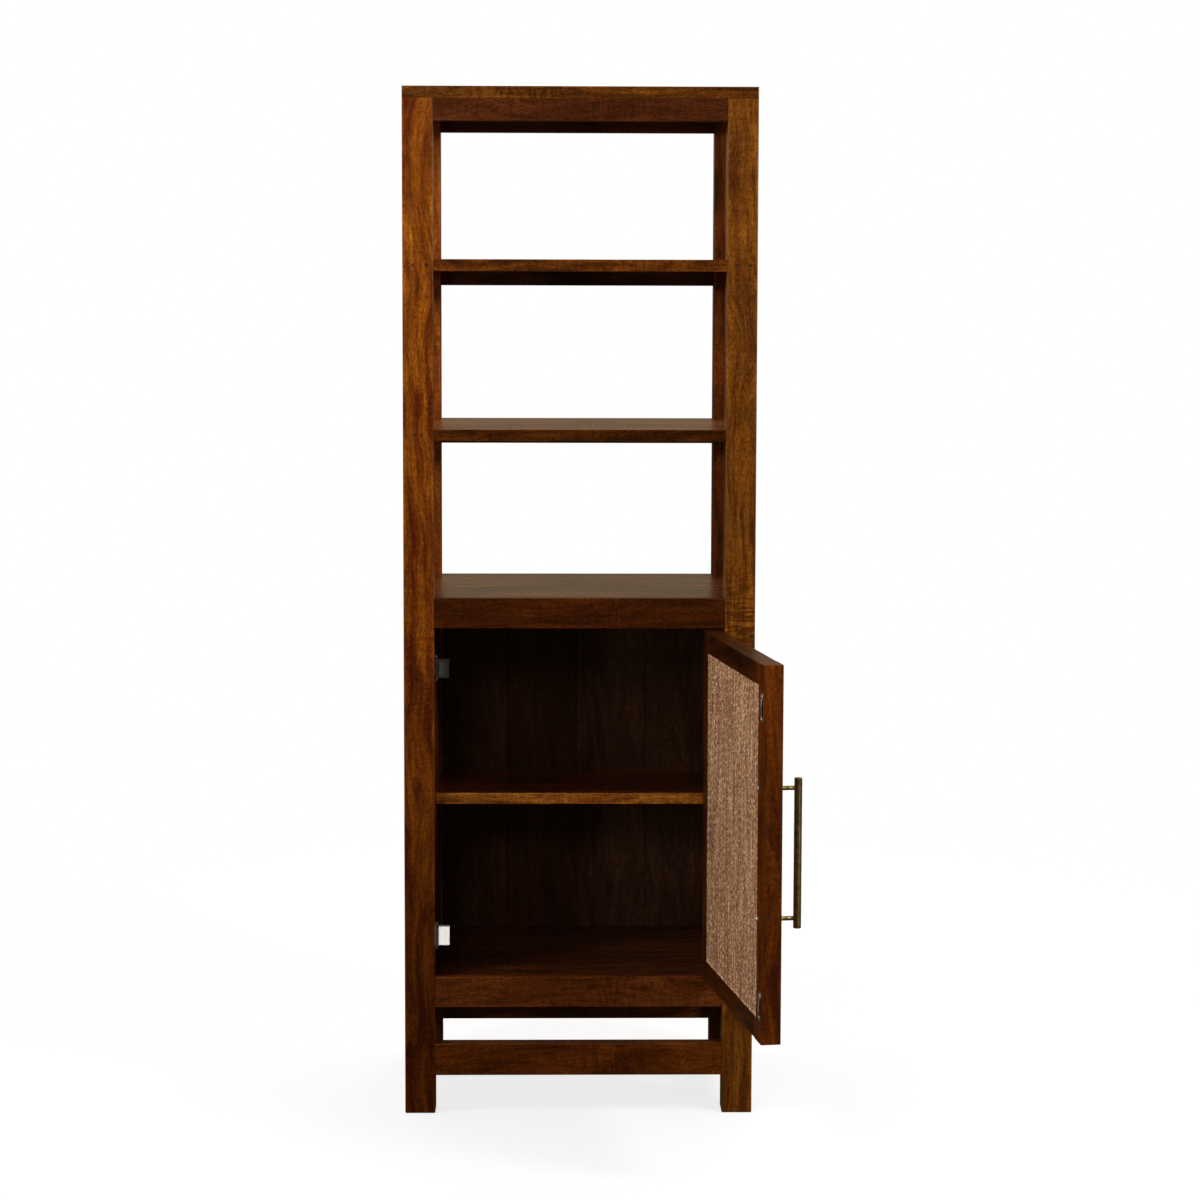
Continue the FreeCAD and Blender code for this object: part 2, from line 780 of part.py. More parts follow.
def make_hinge_leaves(label, own, sign, axis_x, axis_y, on_door):
    """The leaves of both hinges for one side. own is the first of that side's knuckles."""
    body = new_body(label, on_door)
    inner_edge = f"(door_gap / 2 + hinge_leaf_recess - hinge_leaf_thickness)"
    level = f"{axis_x} + {sign}({inner_edge} + hinge_leaf_thickness / 2)"
    front = f"({axis_y} + hinge_axis_stand)"
    plate = sketch_at(body, "YZ", level)
    for centre in hinge_centres:
        low, high = f"{centre} - hinge_height / 2", f"{centre} + hinge_height / 2"
        rectangle(plate, front, f"{front} + hinge_leaf_width", low, high)
    pad(body, plate, "hinge_leaf_thickness")
    count = round(number_of("knuckle_count"))
    neck = sketch_at(body, "YZ", level)
    start = f"({axis_y} + knuckle_radius - knuckle_wall_overlap)"
    for centre in hinge_centres:
        for index in range(own, count, 2):
            middle, length = knuckle_span(centre, index)
            low, high = f"{middle} - {length} / 2", f"{middle} + {length} / 2"
            rectangle(neck, start, f"{front} + knuckle_wall_overlap", low, high)
    pad(body, neck, "hinge_leaf_thickness")
    for centre in hinge_centres:
        for index in range(own, count, 2):
            middle, length = knuckle_span(centre, index)
            ring = sketch_at(body, "XY", middle)
            circle(ring, axis_x, axis_y, "knuckle_radius")
            pad(body, ring, length)
    bore = sketch_at(body, "XY", f"({hinge_centres[0]} + {hinge_centres[1]}) / 2")
    circle(bore, axis_x, axis_y, "hinge_pin_radius + hinge_pin_clearance")
    pocket(body, bore, f"{hinge_centres[1]} - {hinge_centres[0]} + 2 * hinge_height")
    holes = sketch_at(body, "YZ", level)
    for y, z in hinge_screw_spots(axis_y):
        circle(holes, y, z, "hinge_screw_shank_radius + screw_clearance")
    pocket(body, holes, "2 * hinge_leaf_thickness")
    open_side = f"{axis_x} + {sign}{inner_edge}"

    def mouth(edge):
        round_edge = edge.Curve.TypeId == "Part::GeomCircle"
        centre_off = abs(edge.BoundBox.Center.x - number_of(open_side))
        upright = edge.BoundBox.XLength <= number_of("joint_clearance")
        return round_edge and upright and centre_off <= number_of("joint_clearance")

    chamfer(body, "hinge_screw_head_radius - hinge_screw_shank_radius", mouth)
    return body


def hinge_screw_spots(axis_y):
    spots = []
    for centre in hinge_centres:
        for z in screw_heights(centre):
            spots.append((f"{axis_y} + hinge_axis_stand + hinge_leaf_width / 2", z))
    return spots


def seat_leaf(body, face, front):
    """The shallow recess in post or stile that a leaf lies in, on the face at this level."""
    sketch = sketch_at(body, "YZ", face)
    for centre in hinge_centres:
        low = f"{centre} - hinge_height / 2 - joint_clearance"
        high = f"{centre} + hinge_height / 2 + joint_clearance"
        overrun = "post_arris_radius"
        rectangle(sketch, f"{front} - {overrun}", f"{front} + hinge_leaf_width", low, high)
    pocket_from_face(body, sketch, "hinge_leaf_recess")


def pilot_holes(body, plane, level, spots, radius, depth):
    sketch = sketch_at(body, plane, level)
    for across, up in spots:
        circle(sketch, across, up, radius)
    pocket_from_face(body, sketch, depth)


post_leaves = make_hinge_leaves("hinge_post_leaves", 0, "", AXIS_X, AXIS_Y, False)
door_leaves = make_hinge_leaves("hinge_door_leaves", 1, "-", "0", "0", True)

hinge_pins = new_body("hinge_pins")
for centre in hinge_centres:
    shaft = sketch_at(hinge_pins, "XY", centre)
    circle(shaft, AXIS_X, AXIS_Y, "hinge_pin_radius")
    pad(hinge_pins, shaft, "hinge_height")
    for sign in ("-", "+"):
        middle = f"{centre} {sign} (hinge_height / 2 + hinge_pin_cap_height / 2)"
        cap = sketch_at(hinge_pins, "XY", middle)
        circle(cap, AXIS_X, AXIS_Y, "knuckle_radius - joint_clearance")
        pad(hinge_pins, cap, "hinge_pin_cap_height")


def cap_rim(edge):
    rim = edge.Curve.TypeId == "Part::GeomCircle"
    return rim and edge.Curve.Radius > number_of("hinge_pin_radius + joint_clearance")


fillet(hinge_pins, "hinge_pin_cap_height / 3", cap_rim)


def make_flat_screws(label, axis_x, axis_y, sign, on_door):
    """Countersunk screws, whose heads are flush with the open side of the leaf."""
    body = new_body(label, on_door)
    face = f"(door_gap / 2 + hinge_leaf_recess - hinge_leaf_thickness)"
    reach = f"({face} + hinge_screw_length)"
    cone = "(hinge_screw_head_radius - hinge_screw_shank_radius)"
    spots = hinge_screw_spots(axis_y)
    profile_points = [
        (face, "0"),
        (face, "hinge_screw_head_radius"),
        (f"{face} + {cone}", "hinge_screw_shank_radius"),
        (reach, "hinge_screw_shank_radius"),
        (reach, "0"),
    ]
    cones = []
    for y, z in spots:
        sketch = sketch_at(body, "XY", z)
        points = []
        for along, out in profile_points:
            across = f"{axis_x} + {sign}({along})"
            points.append((across, y if out == "0" else f"{y} + {out}"))
        polygon(sketch, points)
        turn = body.newObject("PartDesign::Revolution", f"{label}_Turn")
        turn.Profile = sketch
        # The polygon's last side is the screw's own axis
        turn.ReferenceAxis = (sketch, [f"Edge{len(points)}"])
        turn.Angle = 360
        cones.append(turn)
    return body


make_flat_screws("hinge_post_screws", AXIS_X, AXIS_Y, "", False)
make_flat_screws("hinge_door_screws", "0", "0", "-", True)

for end_body, face, front in (
    (posts["front", "right"], INNER_X, "(-depth / 2)"),
    (hinge_stile, HINGE_EDGE, OUTER_FACE),
):
    seat_leaf(end_body, face, front)
    axis_y = f"({front} - hinge_axis_stand)"
    hole = "hinge_screw_shank_radius + screw_clearance"
    pilot_holes(end_body, "YZ", face, hinge_screw_spots(axis_y), hole, "hinge_screw_length")


# Domed wood screws
def make_domed_screws(label, plane, spots, seat, into, shank, length, head, height, on_door):
    """Screws seated at a level, whose shanks run from it in the direction of the sign into."""
    body = new_body(label, on_door)
    shanks = sketch_at(body, plane, f"{seat} {into} ({length}) / 2")
    for across, up in spots:
        circle(shanks, across, up, shank)
    pad(body, shanks, length)
    out = "-" if into == "+" else "+"
    heads = sketch_at(body, plane, f"{seat} {out} ({height}) / 2")
    for across, up in spots:
        circle(heads, across, up, head)
    pad(body, heads, height)
    axis = {"YZ": 0, "XZ": 1}[plane]
    crown = number_of(f"{seat} {out} ({height})")

    def on_crown(edge):
        centre = (edge.BoundBox.Center.x, edge.BoundBox.Center.y)[axis]
        return abs(centre - crown) <= NEARLY_SHARE

    fillet(body, f"{height} * 2 / 3", on_crown)
    return body


# Magnetic catches on the left post, just behind the shut door
POLE_FACE = "(-depth / 2 + door_thickness + strike_stand + strike_gap)"
CATCH_FACE = f"({POLE_FACE} + pole_proud)"
CATCH_MIDDLE = f"({CATCH_FACE} + catch_depth / 2)"
CATCH_X = f"(-{INNER_X} + catch_projection / 2)"
catch_levels = {
    "upper": f"({DOOR_HIGH} - upper_catch_inset)",
    "lower": f"({DOOR_LOW} + lower_catch_inset)",
}


def make_catch_housing(name, level):
    body = new_body(f"catch_housing_{name}")
    block = sketch_at(body, "XZ", CATCH_MIDDLE)
    wall = f"-{INNER_X}"
    nose = f"(-{INNER_X} + catch_projection)"
    half = "catch_height / 2"
    rectangle(block, wall, nose, f"{level} - {half}", f"{level} + {half}")
    pad(body, block, "catch_depth")
    fillet(body, "catch_edge_radius", lambda edge: runs_along(edge, 1))
    ears = sketch_at(body, "XZ", CATCH_MIDDLE)
    reach = "(catch_height / 2 + catch_ear_height)"
    ear_face = f"(-{INNER_X} + catch_ear_thickness)"
    rectangle(ears, wall, ear_face, f"{level} - {reach}", f"{level} + {reach}")
    pad(body, ears, "catch_ear_width")
    cavity = sketch_at(body, "XZ", CATCH_FACE)
    half_x = "(magnet_thickness / 2 + pole_thickness + magnet_clearance)"
    half_z = "(magnet_height / 2 + magnet_clearance)"
    left, right = f"{CATCH_X} - {half_x}", f"{CATCH_X} + {half_x}"
    rectangle(cavity, left, right, f"{level} - {half_z}", f"{level} + {half_z}")
    pocket_from_face(body, cavity, "catch_cavity_depth")
    holes = sketch_at(body, "YZ", f"-{INNER_X}")
    for sign in ("-", "+"):
        up = f"{level} {sign} (catch_height / 2 + catch_ear_height / 2)"
        circle(holes, CATCH_MIDDLE, up, "screw_shank_radius + screw_clearance")
    pocket(body, holes, "2 * catch_ear_thickness")
    return body


for name, level in catch_levels.items():
    make_catch_housing(name, level)


def make_catch_blocks(label, offsets, thickness, front, rear):
    """Upright blocks inside both catches, at offsets from the middle of the catch."""
    body = new_body(label)
    sketch = sketch_at(body, "XZ", f"({front} + {rear}) / 2")
    for level in catch_levels.values():
        for offset in offsets:
            left = f"{CATCH_X} + {offset} - {thickness} / 2"
            right = f"{CATCH_X} + {offset} + {thickness} / 2"
            low, high = f"{level} - magnet_height / 2", f"{level} + magnet_height / 2"
            rectangle(sketch, left, right, low, high)
    pad(body, sketch, f"{rear} - {front}")
    return body


cavity_floor = f"({CATCH_FACE} + catch_cavity_depth)"
pole_offset = "(magnet_thickness / 2 + pole_thickness / 2)"
make_catch_blocks("catch_magnets", ("0 * pole_thickness",), "magnet_thickness", CATCH_FACE, cavity_floor)
make_catch_blocks(
    "catch_pole_plates", (f"-{pole_offset}", pole_offset), "pole_thickness", POLE_FACE, cavity_floor
)

catch_screw_spots = []
for level in catch_levels.values():
    for sign in ("-", "+"):
        up = f"{level} {sign} (catch_height / 2 + catch_ear_height / 2)"
        catch_screw_spots.append((CATCH_MIDDLE, up))
make_domed_screws(
    "catch_screws",
    "YZ",
    catch_screw_spots,
    f"(-{INNER_X} + catch_ear_thickness)",
    "-",
    "screw_shank_radius",
    "screw_length",
    "screw_head_radius",
    "screw_head_height",
    False,
)
pilot_holes(
    posts["front", "left"],
    "YZ",
    f"-{INNER_X}",
    catch_screw_spots,
    "screw_shank_radius + screw_clearance",
    "screw_length",
)


# Strike plates: bent steel straps on the free stile, one behind each catch
STRIKE_X = f"({CATCH_X} - {AXIS_X})"
strike_levels = (
    f"({DOOR_HIGH} - upper_strike_inset)",
    f"({DOOR_LOW} + lower_strike_inset)",
)
strike_plates = new_body("strike_plates", on_door=True)
strap = sketch_at(strike_plates, "YZ", STRIKE_X)
for level in strike_levels:
    end = "(strike_height / 2)"
    foot = f"({end} - strike_flange)"
    raised = f"({foot} - strike_slope)"
    base, rise = INNER_FACE, "(strike_stand - strike_sheet)"
    upper_half = [
        (base, end),
        (f"{base} + strike_sheet", end),
        (f"{base} + strike_sheet", foot),
        (f"{base} + strike_stand", raised),
    ]
    under = [(f"{base} + {rise}", raised), (base, foot)]
    points = [(y, f"{level} + {z}") for y, z in upper_half]
    points += [(y, f"{level} - {z}") for y, z in reversed(upper_half)]
    points += [(y, f"{level} - {z}") for y, z in reversed(under)]
    points += [(y, f"{level} + {z}") for y, z in under]
    polygon(strap, points)
pad(strike_plates, strap, "strike_width")


def strap_corner(edge):
    """The short upright edges at the corners of the straps, through the sheet."""
    short = edge.Length <= number_of("strike_sheet + joint_clearance")
    ends = [number_of(f"{level} {sign} strike_height / 2") for level in strike_levels for sign in "+-"]
    at_end = min(abs(edge.BoundBox.Center.z - end) for end in ends) <= NEARLY_SHARE
    return short and at_end and runs_along(edge, 1)


strike_spots = [
    (STRIKE_X, f"{level} {sign} (strike_height / 2 - strike_flange / 2)")
    for level in strike_levels
    for sign in ("-", "+")
]
strap_holes = sketch_at(strike_plates, "XZ", INNER_FACE)
for x, z in strike_spots:
    circle(strap_holes, x, z, "screw_shank_radius + screw_clearance")
pocket(strike_plates, strap_holes, "2 * strike_stand")
fillet(strike_plates, "strike_corner_radius", strap_corner)
make_domed_screws(
    "strike_screws",
    "XZ",
    strike_spots,
    f"({INNER_FACE} + strike_sheet)",
    "-",
    "screw_shank_radius",
    "screw_length",
    "screw_head_radius",
    "screw_head_height",
    True,
)
pilot_holes(
    free_stile,
    "XZ",
    INNER_FACE,
    strike_spots,
    "screw_shank_radius + screw_clearance",
    "screw_length",
)


# Bar handle: a round bar on two round posts, bolted through the free stile
HANDLE_X = f"({FREE_EDGE} + handle_inset)"
HANDLE_LEVEL = f"({DOOR_LOW} + handle_level_share * ({DOOR_HIGH} - {DOOR_LOW}))"
POST_REACH = "(handle_length / 2 - handle_overhang)"
BAR_Y = f"({OUTER_FACE} - handle_stand)"
handle_spots = [(HANDLE_X, f"{HANDLE_LEVEL} {sign} {POST_REACH}") for sign in ("-", "+")]
BAR_NEAR = f"({BAR_Y} + handle_bar_radius)"

handle_bar = new_body("handle_bar", on_door=True)
bar_section = sketch_at(handle_bar, "XY", HANDLE_LEVEL)
circle(bar_section, HANDLE_X, BAR_Y, "handle_bar_radius")
pad(handle_bar, bar_section, "handle_length")
chamfer(
    handle_bar,
    "handle_edge_chamfer",
    lambda edge: edge.Curve.TypeId == "Part::GeomCircle",
)
seats = sketch_at(handle_bar, "XZ", BAR_NEAR)
for x, z in handle_spots:
    circle(seats, x, z, "handle_post_radius + joint_clearance")
pocket_from_face(handle_bar, seats, "handle_post_seat + joint_clearance")

handle_posts = new_body("handle_posts", on_door=True)
post_end = f"({BAR_NEAR} - handle_post_seat)"
post_rounds = sketch_at(handle_posts, "XZ", f"({OUTER_FACE} + {post_end}) / 2")
for x, z in handle_spots:
    circle(post_rounds, x, z, "handle_post_radius")
pad(handle_posts, post_rounds, f"{OUTER_FACE} - {post_end}")
bolt_bores = sketch_at(handle_posts, "XZ", OUTER_FACE)
for x, z in handle_spots:
    circle(bolt_bores, x, z, "handle_bolt_radius + screw_clearance")
pocket_from_face(handle_posts, bolt_bores, "handle_bolt_reach + joint_clearance")

make_domed_screws(
    "handle_bolts",
    "XZ",
    handle_spots,
    INNER_FACE,
    "-",
    "handle_bolt_radius",
    "door_thickness + handle_bolt_reach",
    "handle_bolt_head_radius",
    "handle_bolt_head_height",
    True,
)
pilot_holes(
    free_stile,
    "XZ",
    DOOR_MIDDLE,
    handle_spots,
    "handle_bolt_radius + handle_bolt_clearance",
    "door_thickness",
)


# Check every object, then write one file for each piece
doc.recompute()
for item in doc.Objects:
    if "Invalid" in item.State or "Error" in item.State:
        raise RuntimeError(f"{item.Label} did not compute: {item.State}")
for node in nodes:
    if node.Shape.isNull() or not node.Shape.isValid():
        raise RuntimeError(f"{node.Label} has no valid shape")
for node in nodes:
    node.Shape.exportStep(f"parts/{node.Label}.step")
print(f"{len(nodes)} pieces written")
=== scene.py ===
import json
import math
import random

import bmesh
import bpy
from mathutils import Matrix, Vector, noise


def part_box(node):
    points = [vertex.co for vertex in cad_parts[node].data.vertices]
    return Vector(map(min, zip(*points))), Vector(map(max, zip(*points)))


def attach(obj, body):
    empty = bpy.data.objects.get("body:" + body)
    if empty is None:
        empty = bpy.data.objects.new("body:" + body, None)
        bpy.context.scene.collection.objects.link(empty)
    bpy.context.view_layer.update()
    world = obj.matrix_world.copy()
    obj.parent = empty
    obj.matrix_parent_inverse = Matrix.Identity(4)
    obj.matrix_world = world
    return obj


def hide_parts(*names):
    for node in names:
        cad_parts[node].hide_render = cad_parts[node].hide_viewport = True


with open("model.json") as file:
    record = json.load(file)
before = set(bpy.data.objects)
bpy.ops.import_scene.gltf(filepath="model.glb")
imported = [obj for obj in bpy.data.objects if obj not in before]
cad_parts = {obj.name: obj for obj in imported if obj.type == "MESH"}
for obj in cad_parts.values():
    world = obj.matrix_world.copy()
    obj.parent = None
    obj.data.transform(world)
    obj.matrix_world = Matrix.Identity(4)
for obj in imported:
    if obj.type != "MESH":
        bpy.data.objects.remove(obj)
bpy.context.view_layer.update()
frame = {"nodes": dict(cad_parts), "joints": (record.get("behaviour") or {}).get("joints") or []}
mm = 0.001
scene = bpy.context.scene
scene.view_settings.view_transform = "Standard"

# The view: a long lens a little below the height of the cabinet's shoulder, five and a half
# metres in front of it. It looks slightly down and slightly to the right, and sees the inner
# sides of both posts, the tops of the lower shelves and the inside of the open door.
camera_data = bpy.data.cameras.new("studio_camera")
camera_data.sensor_width = 36
camera_data.lens = 94.2
camera_data.clip_end = 60
camera = bpy.data.objects.new("studio_camera", camera_data)
scene.collection.objects.link(camera)
scene.camera = camera
look_down = math.radians(5.857)
look_right = math.radians(1.079)
lean = math.radians(0.152)
camera.matrix_world = (
    Matrix.Translation((-0.0654, -5.5498, 1.4402))
    @ Matrix.Rotation(-look_right, 4, "Z")
    @ Matrix.Rotation(math.radians(90) - look_down, 4, "X")
    @ Matrix.Rotation(lean, 4, "Z")
)


# The four posts are solid mango wood, sawn square and planed, with softened arrises. Dark walnut
# stain and two thin coats of satin lacquer leave the streaks, pores and ripple of the wood open to
# the eye: orange-brown where the light grain runs, almost black in the pores.
def linear(code):
    """The linear colour of an sRGB hex value."""
    parts = [int(code[i : i + 2], 16) / 255 for i in (1, 3, 5)]
    return [c / 12.92 if c <= 0.04045 else ((c + 0.055) / 1.055) ** 2.4 for c in parts] + [1]


def put(tree, kind, inputs=None, **settings):
    """Adds a shader node with its settings, links and fixed inputs."""
    made = tree.nodes.new("ShaderNode" + kind)
    for name, value in settings.items():
        setattr(made, name, value)
    for name, value in (inputs or {}).items():
        if isinstance(value, bpy.types.Node):
            value = value.outputs[0]
        if isinstance(value, bpy.types.NodeSocket):
            tree.links.new(value, made.inputs[name])
        else:
            made.inputs[name].default_value = value
    return made


def new_material(name):
    material = bpy.data.materials.new(name)
    material.use_nodes = True
    material.node_tree.nodes.clear()
    return material, material.node_tree


# What the wood shows at every scale. Each line: millimetres across and along the grain, detail,
# the two noise levels between which it changes, and the shade below and above them. The flecks,
# fibres and pores are drawn two or three times coarser than real ones, so that they show.
wood_layers = {
    "clouds": (60, 240, 2.0, 0.32, 0.68, 0.80, 1.20),
    "bands": (8, 120, 3.0, 0.36, 0.64, 0.84, 1.16),
    "fibres": (3.2, 38, 3.0, 0.32, 0.68, 0.88, 1.13),
    "flecks": (2.3, 6.5, 4.0, 0.36, 0.64, 0.76, 1.28),
    "ripple": (30, 5, 1.0, 0.42, 0.58, 0.94, 1.07),
    "pores": (0.9, 8, 1.0, 0.61, 0.68, 1.00, 0.55),
}


def place_in_tree(tree, where, grain, middle, board):
    """Every board is cut from its own place in the tree: beside the pith, turned and tilted."""
    pith_turn = board * math.radians(137.5)
    pith_distance = 80 * mm
    pith = Vector((math.cos(pith_turn), math.sin(pith_turn), 0)) * pith_distance
    tree_axis = Vector((0.03, 0.02, 1))
    height_in_tree = Vector((0, 0, board * 1.7))
    turned = Vector(grain).rotation_difference(tree_axis)
    shift = pith - turned @ middle + height_in_tree
    turn = {"Vector": where, "Rotation": turned.to_euler()}
    lengthways = put(tree, "VectorRotate", turn, rotation_type="EULER_XYZ")
    return put(tree, "VectorMath", {0: lengthways, 1: shift}, operation="ADD")


def glued_planks(tree, where, place, plank, low, high):
    """The planks of a board come from further up the tree, each with a shade of its own."""
    direction, width = plank
    start = min(low.dot(direction), high.dot(direction))
    across = put(tree, "VectorMath", {0: where, 1: direction}, operation="DOT_PRODUCT")
    across = across.outputs["Value"]
    inside = put(tree, "Math", {0: across, 1: -start}, operation="ADD")
    number = put(tree, "Math", {0: inside, 1: 1 / width}, operation="MULTIPLY")
    number = put(tree, "Math", {0: number}, operation="FLOOR")
    tone = put(tree, "TexWhiteNoise", {"W": number}, noise_dimensions="1D")
    shade = put(tree, "MapRange", {"Value": tone, "To Min": 0.78, "To Max": 1.2})
    further = (0.05, 0.03, 1.3)
    jump = put(tree, "VectorMath", {0: further, "Scale": number}, operation="SCALE")
    return put(tree, "VectorMath", {0: place, 1: jump}, operation="ADD"), shade


def wandering_grain(tree, place):
    """The grain swings sideways by a finger's width over the length of a hand."""
    size = (1 / (90 * mm), 1 / (90 * mm), 1 / (210 * mm))
    hands = put(tree, "VectorMath", {0: place, 1: size}, operation="MULTIPLY")
    wander = put(tree, "TexNoise", {"Vector": hands, "Scale": 1.0, "Detail": 1.5})
    wander = wander.outputs["Color"]
    swing = put(tree, "VectorMath", {0: wander, 1: (-0.5, -0.5, -0.5)}, operation="ADD")
    reach = (55 * mm, 55 * mm, 0)
    swing = put(tree, "VectorMath", {0: swing, 1: reach}, operation="MULTIPLY")
    return put(tree, "VectorMath", {0: place, 1: swing}, operation="ADD")


def growth_rings(tree, place):
    """Long lines and flat arches on the faces, arcs on the end grain: each year ends in a thin
    dark line, drawn here only where the fibres are dark too."""
    year_width = 8 * mm
    year_length = 150 * mm
    waves_in_a_unit = 20 / math.tau
    wave = year_width * waves_in_a_unit
    size = (1 / wave, 1 / wave, 1 / year_length)
    years = put(tree, "VectorMath", {0: place, 1: size}, operation="MULTIPLY")
    wavy = {"Vector": years, "Scale": 1.0, "Distortion": 9.0, "Detail": 3.0, "Detail Scale": 1.3}
    rings = put(tree, "TexWave", wavy, wave_type="RINGS", rings_direction="Z")
    year = {"From Min": 0.0, "From Max": 0.3, "To Min": 0.80, "To Max": 1.03}
    return put(tree, "MapRange", {"Value": rings, **year})


def ripple_figure(tree, where, grain, middle, bars, figure):
    """Ripple: patches where the light and dark bars across the grain stand out."""
    along = put(tree, "VectorMath", {0: where, 1: grain}, operation="DOT_PRODUCT")
    along = along.outputs["Value"]
    swing = put(tree, "Math", {0: bars, 1: -1.0}, operation="ADD")
    patches = []
    for distance, reach, strength in figure:
        centre = -middle.dot(Vector(grain)) - distance
        off = put(tree, "Math", {0: along, 1: centre}, operation="ADD")
        off = put(tree, "Math", {0: off}, operation="ABSOLUTE")
        fading = {"Value": off, "From Max": reach, "To Min": strength, "To Max": 0.0}
        patch = put(tree, "MapRange", fading, interpolation_type="SMOOTHSTEP")
        bar = put(tree, "Math", {0: swing, 1: patch, 2: 1.0}, operation="MULTIPLY_ADD")
        patches.append(bar)
    return patches


def worn_arrises(tree, where, low, high):
    """Lacquer worn thin on the arrises: there the second nearest face of the board is close."""
    middle = (low + high) / 2
    half = (high - low) / 2
    centred = put(tree, "VectorMath", {0: where, 1: -middle}, operation="ADD")
    positive = put(tree, "VectorMath", {0: centred}, operation="ABSOLUTE")
    inset = put(tree, "VectorMath", {0: half, 1: positive}, operation="SUBTRACT")
    sides = put(tree, "SeparateXYZ", {"Vector": inset})
    pairs = []
    for first, second in ((0, 1), (1, 2), (2, 0)):
        pair = {0: sides.outputs[first], 1: sides.outputs[second]}
        pairs.append(put(tree, "Math", pair, operation="MAXIMUM"))
    nearest = put(tree, "Math", {0: pairs[0], 1: pairs[1]}, operation="MINIMUM")
    nearest = put(tree, "Math", {0: nearest, 1: pairs[2]}, operation="MINIMUM")
    arris = {"From Min": 0.5 * mm, "From Max": 3.0 * mm, "To Min": 0.22, "To Max": 0.0}
    return put(tree, "MapRange", {"Value": nearest, **arris})


def mango_wood(node, grain, pale, deep, figure=(), gloss=0.33, plank=None, rubbed=1.0, foot=1.0):
    """Stained and lacquered mango wood for one node, whose grain runs along one direction.

    figure lists patches of ripple as (distance from the middle along the grain, reach, strength);
    gloss is the roughness of the lacquer; plank is (direction, width) where a board is glued up
    from several; foot is the painted shade near the floor; and rubbed is the painted light
    of its upper face, paler on open tops and dark in the cupboard's shade."""
    material, tree = new_material("lacquered_mango_" + node)
    low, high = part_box(node)
    middle = (low + high) / 2
    board = len(bpy.data.materials)
    where = put(tree, "TexCoord").outputs["Object"]
    normal = put(tree, "TexCoord").outputs["Normal"]
    place = place_in_tree(tree, where, grain, middle, board)
    shades = []
    if plank:
        place, shade = glued_planks(tree, where, place, plank, low, high)
        shades.append(shade)
    place = wandering_grain(tree, place)

    # Heartwood and sapwood alternate in streaks as wide as a finger and as long as a hand
    size = (1 / (14 * mm), 1 / (14 * mm), 1 / (180 * mm))
    fingers = put(tree, "VectorMath", {0: place, 1: size}, operation="MULTIPLY")
    streaks = put(tree, "TexNoise", {"Vector": fingers, "Scale": 1.0, "Detail": 3.0})
    blend = put(tree, "MapRange", {"Value": streaks, "From Min": 0.36, "From Max": 0.64})
    tones = {"Fac": blend, "Color1": linear(deep), "Color2": linear(pale)}
    colour = put(tree, "MixRGB", tones)

    levels = {}
    for layer, (wide, long, detail, less, more, dark, light) in wood_layers.items():
        size = (1 / (wide * mm), 1 / (wide * mm), 1 / (long * mm))
        sized = put(tree, "VectorMath", {0: place, 1: size}, operation="MULTIPLY")
        pattern = put(tree, "TexNoise", {"Vector": sized, "Scale": 1.0, "Detail": detail})
        reach = {"From Min": less, "From Max": more, "To Min": dark, "To Max": light}
        levels[layer] = put(tree, "MapRange", {"Value": pattern, **reach})
    shades += levels.values()
    shades.append(growth_rings(tree, place))
    shades += ripple_figure(tree, where, grain, middle, levels["ripple"], figure)

    # Painted shade: a post is drawn darker towards its foot, where the lamps' light falls off
    height = put(tree, "SeparateXYZ", {"Vector": where}).outputs[2]
    rise = {"Value": height, "From Min": 0.05, "From Max": 1.4, "To Min": foot, "To Max": 1.0}
    shades.append(put(tree, "MapRange", rise))

    # Painted light and shade on the upper face, and end grain drinks more stain
    upward = put(tree, "SeparateXYZ", {"Vector": normal}).outputs[2]
    along = put(tree, "VectorMath", {0: normal, 1: grain}, operation="DOT_PRODUCT")
    endways = put(tree, "Math", {0: along.outputs["Value"]}, operation="ABSOLUTE")
    for facing, shade in ((upward, rubbed), (endways, 0.62)):
        turned = {"Value": facing, "From Min": 0.6, "From Max": 0.9, "To Min": 1.0}
        shades.append(put(tree, "MapRange", {**turned, "To Max": shade}))

    together = 1.0
    for shade in shades:
        together = put(tree, "Math", {0: together, 1: shade}, operation="MULTIPLY")
    worn = worn_arrises(tree, where, low, high)
    worn = put(tree, "Math", {0: worn, 1: levels["bands"]}, operation="MULTIPLY")
    together = put(tree, "Math", {0: together, 1: worn}, operation="ADD")

    # Where the stain lies deeper it takes away more of the green and the blue than of the red
    absorbed = put(tree, "CombineXYZ")
    for axis, depth in (("X", 1.0), ("Y", 1.3), ("Z", 1.6)):
        left = put(tree, "Math", {0: together, 1: depth}, operation="POWER")
        tree.links.new(left.outputs[0], absorbed.inputs[axis])
    tint = put(tree, "VectorMath", {0: colour, 1: absorbed}, operation="MULTIPLY")
    satin = {"From Min": 0.8, "From Max": 1.2, "To Min": gloss - 0.05, "To Max": gloss + 0.07}
    dullness = put(tree, "MapRange", {"Value": levels["flecks"], **satin})
    pores = {"Height": levels["pores"], "Strength": 0.12, "Distance": 0.2 * mm}
    bump = put(tree, "Bump", pores)
    finish = {"Base Color": tint, "Roughness": dullness, "Normal": bump, "IOR": 1.5}
    shader = put(tree, "BsdfPrincipled", finish)

    # The lacquer is amber: it tints what it mirrors straight on, but not what it mirrors at a slant
    shader.inputs["Specular Tint"].default_value = linear("#ffdda0")
    shader.inputs["Coat Weight"].default_value = 0.10
    shader.inputs["Coat Roughness"].default_value = 0.20
    put(tree, "OutputMaterial", {"Surface": shader})
    return material


def dress(node, material):
    """Gives a CAD node its finish."""
    for slot in frame["nodes"][node].material_slots:
        slot.material = material


